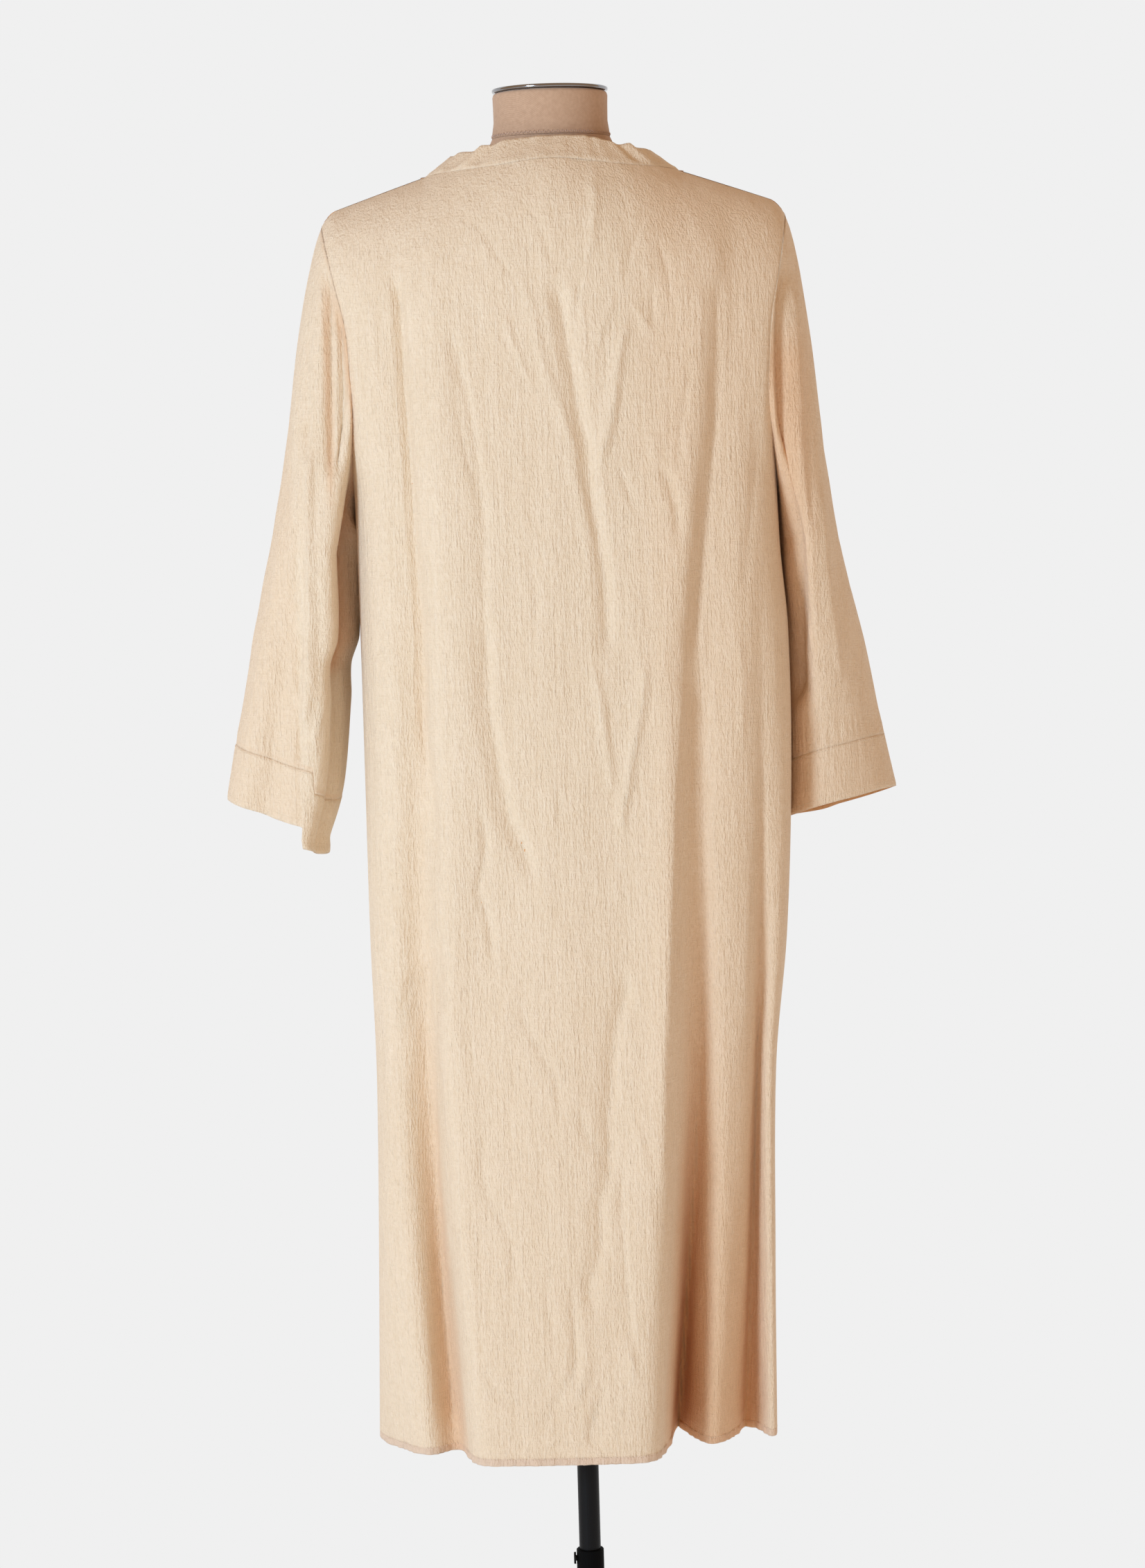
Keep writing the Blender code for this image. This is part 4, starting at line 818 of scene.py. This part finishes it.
def level_inward(grid, inward, r):
    """Makes one ring's directions lie in the ring's own plane, so that seams face each other."""
    row = grid[r]
    middle = row.mean(0)
    plane = unit(np.cross(row[0] - middle, row[len(row) // 4] - middle))
    inward[r] = unit(inward[r] - (inward[r] @ plane)[:, None] * plane)


def sleeve_relief(side_name, grid, inward):
    """Inward depth of the sleeve's creases, on its back and on its front side."""
    x, z = grid[:, :, 0], grid[:, :, 2]
    depth = np.zeros(x.shape)
    for table, facing in ((SLEEVE_BACK_CREASES, 1), (SLEEVE_FRONT_CREASES, -1)):
        seen = ease(inward[:, :, 1] * facing / 0.35)
        for _, left, right, amount, course in table[side_name]:
            depth += seen * amount * crease(x, z, left, right, course)
    return depth


def sleeve_shade(side_name, grid, turn):
    """How much painted shade each point of the sleeve gets, 0 to 1."""
    x, y, z = grid[:, :, 0], grid[:, :, 1], grid[:, :, 2]
    if side_name == "right":
        # Painted shade all over the right sleeve, and a painted shadow of the body beside it
        body_shadow_mask = ease((BODY_SIDE_X - x) / BODY_SIDE_REACH) * ease((1.56 - z) / 0.06)
        return RIGHT_SLEEVE_SHADE + BODY_SHADOW * body_shadow_mask
    # Painted shade of the left sleeve: on its outer side, in its fold line, along its armhole seam and in its
    # hollow
    outer = OUTER_SHADE * ease((OUTER_SHADE_X - x) / 0.010)
    upper = ease((z - 1.36) / 0.05) * ease((1.61 - z) / 0.06) * ease((-0.010 - y) / 0.010)
    fold_line_shade = FOLD_LINE_SHADE * np.exp(-((x - FOLD_LINE_X) / FOLD_LINE_REACH) ** 2) * upper
    seam_line_shade = SEAM_LINE_SHADE * ease(1.0 - np.arange(len(grid)) / SEAM_LINE_ROWS)[:, None] * upper
    away = (np.degrees(turn)[None, :] - HOLLOW_TURN) / HOLLOW_REACH
    hollow = np.exp(-away ** 2) * ease((z - 1.200) / 0.02) * ease((1.42 - z) / 0.06)
    return np.clip(outer + hollow + fold_line_shade + seam_line_shade, 0.0, 1.0)


def build_sleeve(side_name, back, front, material):
    grid, cuff = sleeve_grids(side_name, back, front)
    inward = tube_inward(grid)
    rows = len(grid)
    hold = ease(np.arange(rows) / 3.0) * ease((rows - 1 - np.arange(rows)) / 4.0)
    gather = ease((np.arange(rows) - (rows - GATHER_ROWS)) / (GATHER_ROWS - 1))[:, None]
    turn = 2.0 * math.pi * np.arange(grid.shape[1]) / grid.shape[1]
    gathers = GATHER_HEIGHT * gather * np.sin(turn * GATHER_COUNT + 2.0 * np.sin(turn * 5.0))[None, :]
    relief = crinkle(grid, 3 if side_name == "left" else 4) - sleeve_relief(side_name, grid, inward) + gathers
    outward = relief * hold[:, None]
    grid = grid - inward * outward[:, :, None]
    inward[0] = np.stack([0 * turn, np.sin(turn), -np.cos(turn)], 1)
    level_inward(grid, inward, -1)
    sleeve = make_cloth(f"{side_name}_sleeve_cloth", grid, inward, True, material)
    # Painted shade of the sleeve, with painted seam shade at both of its ends
    shade = sleeve_shade(side_name, grid, turn)
    shade[(0, 1, -2, -1), :] = np.maximum(shade[(0, 1, -2, -1), :], SEAM_SHADE)
    paint_shade(sleeve, np.concatenate([shade.ravel(), np.ones(shade.size)]))
    inward_cuff = tube_inward(cuff)
    for r in range(len(cuff)):
        level_inward(cuff, inward_cuff, r)
    share = np.arange(len(cuff)) / (len(cuff) - 1)
    edge = (ease(share / 0.06) * ease((1 - share) / 0.06))[:, None]
    outward = crinkle(cuff, 5 if side_name == "left" else 6) * 0.7 * edge + 0.0005 * (edge - 0.2)
    cuff = cuff - inward_cuff * outward[:, :, None]
    band = make_cloth(f"{side_name}_cuff_cloth", cuff, inward_cuff, True, material, 1.6 * CLOTH)
    # Painted shade of the cuff, with painted seam shade at its top
    shade = sleeve_shade(side_name, cuff, turn)
    shade[0] = SEAM_SHADE
    paint_shade(band, np.concatenate([shade.ravel(), np.ones(shade.size)]))
    return sleeve, band, cuff, inward_cuff


def band_lean(points):
    """Direction from the neckline seam to the collar band's top edge."""
    x, y = points[:, 0], points[:, 1]
    back, at_side, at_front, notch = (
        np.stack([-np.sign(x) * lean[0], np.full_like(x, lean[1]), np.full_like(x, lean[2])], 1)
        for lean in (BAND_AT_BACK, BAND_AT_SIDE, BAND_AT_FRONT, BAND_AT_NOTCH))
    behind = unit(mix(back, at_side, ease(np.abs(x) / NECK_POINT_X)[:, None]))
    before = mix(at_side, at_front, ease(y / BACK_NECK_Y)[:, None])
    before = mix(before, notch, ease(1.0 - np.abs(x) / BAND_NOTCH_X)[:, None])
    return np.where((y <= 0.0)[:, None], behind, before)


def build_collar(back, back_inward, front, front_inward, material):
    at_back = np.abs(back[0, :, 0]) <= NECK_POINT_X + 1e-6
    at_front = np.abs(front[0, :, 0]) < NECK_POINT_X - 1e-6
    ring = np.concatenate([back[0, at_back], front[0, at_front][::-1]])
    ring_inward = np.concatenate([back_inward[0, at_back], front_inward[0, at_front][::-1]])
    lean = band_lean(ring)
    share = np.arange(BAND_ROWS + 1) / BAND_ROWS
    grid = ring[None] + lean[None] * (BAND_SEAM + BAND_WIDTH * share[:, None, None])
    inward = tube_inward(grid)
    step = np.linalg.norm(np.diff(ring, axis=0, append=ring[:1]), axis=1)
    along = np.cumsum(step) - step
    wave = np.zeros(len(ring))
    for x0, reach, depth in COLLAR_WAVES:
        wave += depth * np.exp(-((ring[:, 0] - x0) / reach) ** 2) * (ring[:, 1] < 0.0)
    wave += 0.0006 * np.sin(along * 210.0) * np.sin(along * 47.0)
    loose = ease(share / 0.3)[:, None]
    relief = crinkle(grid, 7) * 0.8 * ease(share / 0.1)[:, None] + wave[None] * loose
    seam_ridge = 0.0005 * np.exp(-((share - 0.16) / 0.10) ** 2)[:, None] * ease(share / 0.05)[:, None]
    grid = grid - inward * (relief + seam_ridge)[:, :, None]
    inward[0] = ring_inward
    return make_cloth("collar_cloth", grid, inward, True, material, 1.5 * CLOTH), grid, inward


# Stitches

def polyline_places(points, outward, pitch):
    """Places, directions and outward normals at even steps along a line on the cloth."""
    length = np.concatenate([[0.0], np.cumsum(np.linalg.norm(np.diff(points, axis=0), axis=1))])
    at = np.arange(0.5 * pitch, length[-1] - 0.5 * pitch, pitch)
    place = np.stack([np.interp(at, length, points[:, k]) for k in range(3)], 1)
    ahead = np.stack([np.interp(at + 0.2 * pitch, length, points[:, k]) for k in range(3)], 1)
    normal = unit(np.stack([np.interp(at, length, outward[:, k]) for k in range(3)], 1))
    return place, unit(ahead - place), normal


def stitch_row(places, directions, normals, length, width, height):
    """Low pointed stitches as one list of points and one of faces."""
    across = unit(np.cross(normals, directions))
    corners = (
        directions * -0.5 * length, across * 0.5 * width, directions * 0.5 * length, across * -0.5 * width,
        normals * height, normals * -0.6 * height)
    points = np.stack([places + corner for corner in corners], 1)
    shape = np.array(((0, 1, 4), (1, 2, 4), (2, 3, 4), (3, 0, 4), (1, 0, 5), (2, 1, 5), (3, 2, 5), (0, 3, 5)))
    faces = shape[None] + 6 * np.arange(len(places))[:, None, None]
    return points.reshape(-1, 3), faces.reshape(-1, 3)


def make_stitches(name, lines, material):
    """One piece of many stitches: lines are (points, outward, pitch)."""
    points, faces, count = [], [], 0
    for line, outward, pitch in lines:
        more, shapes = stitch_row(*polyline_places(line, outward, pitch), *STITCH_SIZE)
        points.append(more)
        faces.append(shapes + count)
        count += len(more)
    return make_piece(name, np.concatenate(points).tolist(), np.concatenate(faces).tolist(), material)


def hem_line(grid, inward):
    """The hem's line of stitches across a panel, above its lower edge."""
    z = HEM_Z + HEM_STITCH_RISE
    heights = grid[:, grid.shape[1] // 2, 2]
    r = int(np.searchsorted(-heights, -z)) - 1
    t = (heights[r] - z) / (heights[r] - heights[r + 1])
    return mix(grid[r], grid[r + 1], t), -unit(mix(inward[r], inward[r + 1], t)), STITCH_PITCH


def band_line(grid, inward, r, pitch):
    """A closed line of stitches along one ring of a band."""
    loop = np.append(np.arange(grid.shape[1]), 0)
    return grid[r, loop], -inward[r, loop], pitch


# Form

def stacked(name, rings, material):
    """A closed solid through rings of equal count, capped at both ends."""
    count = len(rings[0])
    number = np.arange(len(rings) * count).reshape(len(rings), count)
    near, far = number[:-1], number[1:]
    faces = np.stack([near, np.roll(near, -1, 1), np.roll(far, -1, 1), far], -1).reshape(-1, 4).tolist()
    faces.append(number[0].tolist())
    faces.append(number[-1][::-1].tolist())
    return make_piece(name, np.concatenate(rings).tolist(), faces, material)


def oval_ring(half_width, half_depth, z, sides=112):
    turn = 2.0 * math.pi * np.arange(sides) / sides
    return np.stack([half_width * np.cos(turn), half_depth * np.sin(turn), np.full(sides, z)], 1)


def build_neck(material):
    rings = [oval_ring(wide, deep, mix(NECK_LOW, NECK_HIGH, share)) for share, wide, deep in NECK_RINGS]
    return stacked("neck_cover", rings, material)


def build_cap(material):
    """The disc on the neck, with the same rounding at its lower and its upper rim."""
    high = CAP_LOW + CAP_THICKNESS
    profile = [(CAP_RADIUS - inset, CAP_LOW + rise) for inset, rise in CAP_ROUNDING]
    profile += [(CAP_RADIUS - inset, high - rise) for inset, rise in reversed(CAP_ROUNDING)]
    return stacked("neck_cap_disc", [oval_ring(radius, radius, z) for radius, z in profile], material)


def build_neck_stitches(material):
    """The zig-zag seam round the foot of the neck's cover."""
    seam = oval_ring(*ZIGZAG_OVAL, NECK_LOW + ZIGZAG_FOOT, ZIGZAG_POINTS)
    seam[::2, 2] += ZIGZAG_LIFT - ZIGZAG_RISE
    seam[1::2, 2] += ZIGZAG_LIFT + ZIGZAG_RISE
    seam = np.concatenate([seam, seam[:1]])
    middles = 0.5 * (seam[1:] + seam[:-1])
    outs = unit(middles * np.array((1.0, 1.0, 0.0)))
    points, faces = stitch_row(middles, unit(seam[1:] - seam[:-1]), outs, *ZIGZAG_STITCH_SIZE)
    return make_piece("neck_stitches", points.tolist(), faces.tolist(), material)


# Materials

class Shade:
    """A shader value that Python's own operators work on."""

    def __init__(self, look, socket):
        self.look = look
        self.socket = socket

    def math(self, operation, *values):
        return self.look.node("ShaderNodeMath", {"operation": operation}, dict(enumerate(values)))

    def __add__(self, other):
        return self.math("ADD", self, other)

    def __radd__(self, other):
        return self.math("ADD", other, self)

    def __sub__(self, other):
        return self.math("SUBTRACT", self, other)

    def __rsub__(self, other):
        return self.math("SUBTRACT", other, self)

    def __mul__(self, other):
        return self.math("MULTIPLY", self, other)

    def __rmul__(self, other):
        return self.math("MULTIPLY", other, self)

    def clamp(self):
        return self.math("MAXIMUM", self.math("MINIMUM", self, 1.0), 0.0)


def opaque(colour):
    """A plain colour with its alpha added, and a colour from the nodes as it is."""
    return (*colour, 1.0) if isinstance(colour, tuple) else colour


class Look:
    """A material whose pattern is written as expressions."""

    def __init__(self, name, roughness, metallic=0.0, sheen=0.0):
        self.material = bpy.data.materials.new(name)
        self.material.use_nodes = True
        self.tree = self.material.node_tree
        self.surface = self.tree.nodes["Principled BSDF"]
        self.surface.inputs["Roughness"].default_value = roughness
        self.surface.inputs["Metallic"].default_value = metallic
        self.surface.inputs["Sheen Weight"].default_value = sheen

    def feed(self, socket, value):
        if isinstance(value, Shade):
            self.tree.links.new(value.socket, socket)
        else:
            socket.default_value = value

    def node(self, kind, settings, inputs, output=0):
        """A node of this kind: its settings first, then its values and links."""
        made = self.tree.nodes.new(kind)
        for name, value in settings.items():
            setattr(made, name, value)
        for place, value in inputs.items():
            self.feed(made.inputs[place], value)
        return Shade(self, made.outputs[output])

    def place(self):
        """The point on the piece in metres."""
        return self.node("ShaderNodeTexCoord", {}, {}, "Object")

    def noise(self, place, scale, detail=2.0, roughness=0.5):
        return self.node("ShaderNodeTexNoise", {"noise_dimensions": "3D"},
                         {"Vector": place, "Scale": scale, "Detail": detail, "Roughness": roughness})

    def thread_noise(self, place, across, along, scale, detail=2.0, roughness=0.5):
        """Noise drawn out along the warp where along is the smaller share, or else along the weft."""
        stretched = self.node("ShaderNodeVectorMath", {"operation": "MULTIPLY"},
                              {0: place, 1: (across, across, along)})
        return self.noise(stretched, scale, detail, roughness)

    def blend(self, factor, first, second):
        return self.node("ShaderNodeMix", {"data_type": "RGBA"},
                         {0: factor, 6: opaque(first), 7: opaque(second)}, 2)

    def colour(self, value):
        self.feed(self.surface.inputs["Base Color"], opaque(value))

    def bump(self, height, distance):
        normal = self.node("ShaderNodeBump", {}, {"Strength": 1.0, "Distance": distance, "Height": height})
        self.feed(self.surface.inputs["Normal"], normal)


def crepe_cotton(name):
    """Sand cotton with a fine crepe that runs with the warp, with painted warm shade in the folds, at the
    seams, on the sleeves and inside the dress, and browner at the hem.
    """
    look = Look(name, 0.88, sheen=0.12)
    place = look.place()
    grain = look.thread_noise(place, 1.0, 0.28, 600.0, 3.0, 0.6)
    streaks = look.thread_noise(place, 1.0, 0.05, 330.0)
    puckers = look.thread_noise(place, 1.0, 0.40, 90.0, 3.0, 0.55)
    weft = look.thread_noise(place, 0.12, 1.0, 700.0)
    dye = look.noise(place, 7.0)
    mottle = (1.7 * (0.50 * grain + 0.24 * streaks + 0.14 * weft + 0.12 * dye) - 0.35).clamp()
    # The attribute fold holds the painted shade, which blends the cloth towards the painted shade colours
    fold = look.node("ShaderNodeAttribute", {"attribute_name": "fold"}, {}, "Fac")
    height = look.node("ShaderNodeSeparateXYZ", {}, {"Vector": place}, "Z")
    in_hem = ((HEM_Z + HEM_TURN - height) * 900.0).clamp()
    open_cloth = look.blend(in_hem * 0.55, look.blend(mottle, SAND_DARK, SAND_LIGHT), HEM_BROWN)
    look.colour(look.blend(fold, open_cloth, look.blend(mottle, PAINTED_SHADE_DEEP, PAINTED_SHADE_PALE)))
    look.bump(0.95 * grain + 0.65 * streaks + 0.75 * puckers + 0.30 * weft, CREPE_DEPTH)
    return look.material


def twill_linen(name):
    look = Look(name, 0.9, sheen=0.2)
    place = look.place()
    slant = look.node("ShaderNodeTexWave", {"wave_type": "BANDS", "bands_direction": "DIAGONAL"},
                      {"Vector": place, "Scale": 330.0, "Distortion": 1.5, "Detail": 1.0})
    mottle = look.noise(place, 300.0, 3.0)
    look.colour(look.blend((0.22 * slant + 0.78 * mottle).clamp(), ROSE_DARK, ROSE_LIGHT))
    look.bump(0.3 * slant + 0.7 * mottle, TWILL_DEPTH)
    return look.material


def plain(name, colour, roughness, metallic=0.0, specular=0.5):
    look = Look(name, roughness, metallic)
    look.colour(colour)
    look.surface.inputs["Specular IOR Level"].default_value = specular
    return look.material


def glowing_paper(name, colour, glow):
    """Paper with no shine that glows evenly."""
    look = Look(name, 1.0)
    look.colour(colour)
    look.surface.inputs["Specular IOR Level"].default_value = 0.0
    look.surface.inputs["Emission Color"].default_value = glow
    look.surface.inputs["Emission Strength"].default_value = 1.0
    return look.material


# Camera and stage

CAMERA_PLACE = (0.0036, -4.0, 1.396)
CAMERA_DOWN = 4.4
CAMERA_ROLL = -1.588
CAMERA_LENS = 90.9
SENSOR_WIDTH = 36.0

WORLD_COLOUR = (0.553, 0.371, 0.234, 1.0)
STAGE_GLOW = (0.648, 0.668, 0.684, 1.0)
DOME_GLOW = (0.871, 0.871, 0.871, 1.0)
DOME_RADIUS = 9.0
FLOOR_RADIUS = 0.95
STAGE_REACH = 6.0        # from the middle to the sweep's near edge, its sides and its top
STAGE_BACK = 1.6         # where the sweep starts to bend up
STAGE_BEND = 1.2
BEND_STEPS = 16
SWEEP_BELOW = 0.002      # the sweep lies this far under the floor
KEY_PLACE = (-2.7, -3.4, 1.7)
KEY_AIM = (0.0, 0.0, 1.05)
KEY_SIZE = 1.1
KEY_POWER = 128.0
KEY_COLOUR = (0.581, 0.783, 1.0)


def set_camera():
    down, roll = math.radians(CAMERA_DOWN), math.radians(CAMERA_ROLL)
    forward = Vector((0.0, math.cos(down), -math.sin(down)))
    level = Vector((1.0, 0.0, 0.0))
    right = level * math.cos(roll) + level.cross(forward) * math.sin(roll)
    up = right.cross(forward)
    turn = Matrix((right, up, -forward)).transposed().to_4x4()
    data = bpy.data.cameras.new("camera")
    data.lens = CAMERA_LENS
    data.sensor_width = SENSOR_WIDTH
    camera = bpy.data.objects.new("camera", data)
    camera.matrix_world = Matrix.Translation(CAMERA_PLACE) @ turn
    bpy.context.scene.collection.objects.link(camera)
    bpy.context.scene.camera = camera


def set_key_light():
    data = bpy.data.lights.new("key", "AREA")
    data.shape = "DISK"
    data.size = KEY_SIZE
    data.energy = KEY_POWER
    data.color = KEY_COLOUR
    lamp = bpy.data.objects.new("key", data)
    lamp.location = KEY_PLACE
    lamp.rotation_euler = (Vector(KEY_AIM) - Vector(KEY_PLACE)).to_track_quat("-Z", "Y").to_euler()
    bpy.context.scene.collection.objects.link(lamp)


def build_sweep(paper):
    """Paper that only bounces light: flat under the form and bent up behind it, unseen by the camera."""
    profile = [(-STAGE_REACH, 0.0), (STAGE_BACK, 0.0)]
    for k in range(1, BEND_STEPS + 1):
        turn = math.pi / 2 * k / BEND_STEPS
        profile.append((STAGE_BACK + STAGE_BEND * math.sin(turn), STAGE_BEND * (1.0 - math.cos(turn))))
    profile.append((STAGE_BACK + STAGE_BEND, STAGE_REACH))
    points = [(side * STAGE_REACH, y, z) for y, z in profile for side in (-1, 1)]
    faces = [(2 * k, 2 * k + 1, 2 * k + 3, 2 * k + 2) for k in range(len(profile) - 1)]
    mesh = bpy.data.meshes.new("paper_sweep")
    mesh.from_pydata(points, [], faces)
    mesh.materials.append(paper)
    mesh.shade_smooth()
    sweep = bpy.data.objects.new("paper_sweep", mesh)
    sweep.location.z = -SWEEP_BELOW
    sweep.visible_camera = False
    bpy.context.scene.collection.objects.link(sweep)
    return sweep


def set_stage():
    world = bpy.data.worlds.new("studio")
    world.use_nodes = True
    world.node_tree.nodes["Background"].inputs["Color"].default_value = WORLD_COLOUR
    world.node_tree.nodes["Background"].inputs["Strength"].default_value = 1.0
    bpy.context.scene.world = world
    bpy.context.scene.view_settings.view_transform = "Standard"
    paper = glowing_paper("pale paper", (0.30, 0.30, 0.30), STAGE_GLOW)
    sweep = build_sweep(paper)
    bpy.ops.mesh.primitive_circle_add(vertices=128, radius=FLOOR_RADIUS, fill_type="NGON")
    floor = bpy.context.active_object
    floor.name = "paper_floor"
    floor.data.materials.append(paper)
    bpy.ops.mesh.primitive_uv_sphere_add(segments=64, ring_count=32, radius=DOME_RADIUS)
    dome = bpy.context.active_object
    dome.name = "paper_dome"
    dome.data.materials.append(glowing_paper("far paper", (0.0, 0.0, 0.0), DOME_GLOW))
    dome.visible_diffuse = dome.visible_glossy = dome.visible_transmission = dome.visible_shadow = False
    set_key_light()


# The dress on its form

set_camera()
set_stage()

cotton = crepe_cotton("sand crepe cotton")
thread = plain("sand sewing thread", (0.84, 0.70, 0.52), 0.7)
linen = twill_linen("rose beige twill")
linen_thread = plain("pale rose thread", (0.66, 0.50, 0.42), 0.7)
chrome = plain("dark polished chrome", (0.30, 0.30, 0.31), 0.12, 1.0)
matt_enamel = plain("matt black enamel", (0.003, 0.003, 0.003), 0.6, specular=0.04)
enamel = plain("semi gloss black enamel", (0.004, 0.004, 0.0045), 0.42, specular=0.16)

back_panel, back, back_inward = build_panel("back_cloth", -1, BACK_NECK_COLUMNS, BACK_CREASES, 1, cotton)
front_panel, front, front_inward = build_panel("front_cloth", 1, FRONT_NECK_COLUMNS, FRONT_CREASES, 2, cotton)
left_sleeve, left_cuff, left_band, left_band_inward = build_sleeve("left", back, front, cotton)
right_sleeve, right_cuff, right_band, right_band_inward = build_sleeve("right", back, front, cotton)
collar, band, band_inward = build_collar(back, back_inward, front, front_inward, cotton)

hem_lines = [hem_line(back, back_inward), hem_line(front, front_inward)]
cuff_lines = [
    band_line(grid, inward, r, STITCH_PITCH)
    for grid, inward in ((left_band, left_band_inward), (right_band, right_band_inward))
    for r in CUFF_STITCH_ROWS]
collar_lines = [band_line(band, band_inward, r, COLLAR_STITCH_PITCH) for r in COLLAR_STITCH_ROWS]
stitches = [
    make_stitches("hem_stitches", hem_lines, thread),
    make_stitches("cuff_stitches", cuff_lines, thread),
    make_stitches("collar_stitches", collar_lines, thread)]

neck = build_neck(linen)
cap = build_cap(chrome)
neck_stitches = build_neck_stitches(linen_thread)

cloth = (back_panel, front_panel, left_sleeve, right_sleeve, left_cuff, right_cuff, collar)
for piece in (*cloth, neck, cap, neck_stitches, *stitches):
    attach(piece, "form")
for piece, node in ((back_panel, "back_panel"), (front_panel, "front_panel"), (left_sleeve, "sleeve_left"),
                    (right_sleeve, "sleeve_right"), (left_cuff, "cuff_left"), (right_cuff, "cuff_right"),
                    (collar, "collar_band"), (neck, "form_neck"), (cap, "neck_cap")):
    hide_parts(node)

for node, material in (("form_torso", linen), ("pole_socket", enamel), ("pole", enamel),
                       ("outer_tube", matt_enamel), ("clamp_screw", enamel), ("base_plate", enamel)):
    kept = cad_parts[node]
    for piece in (kept if isinstance(kept, (list, tuple)) else [kept]):
        for place in piece.material_slots:
            place.material = material
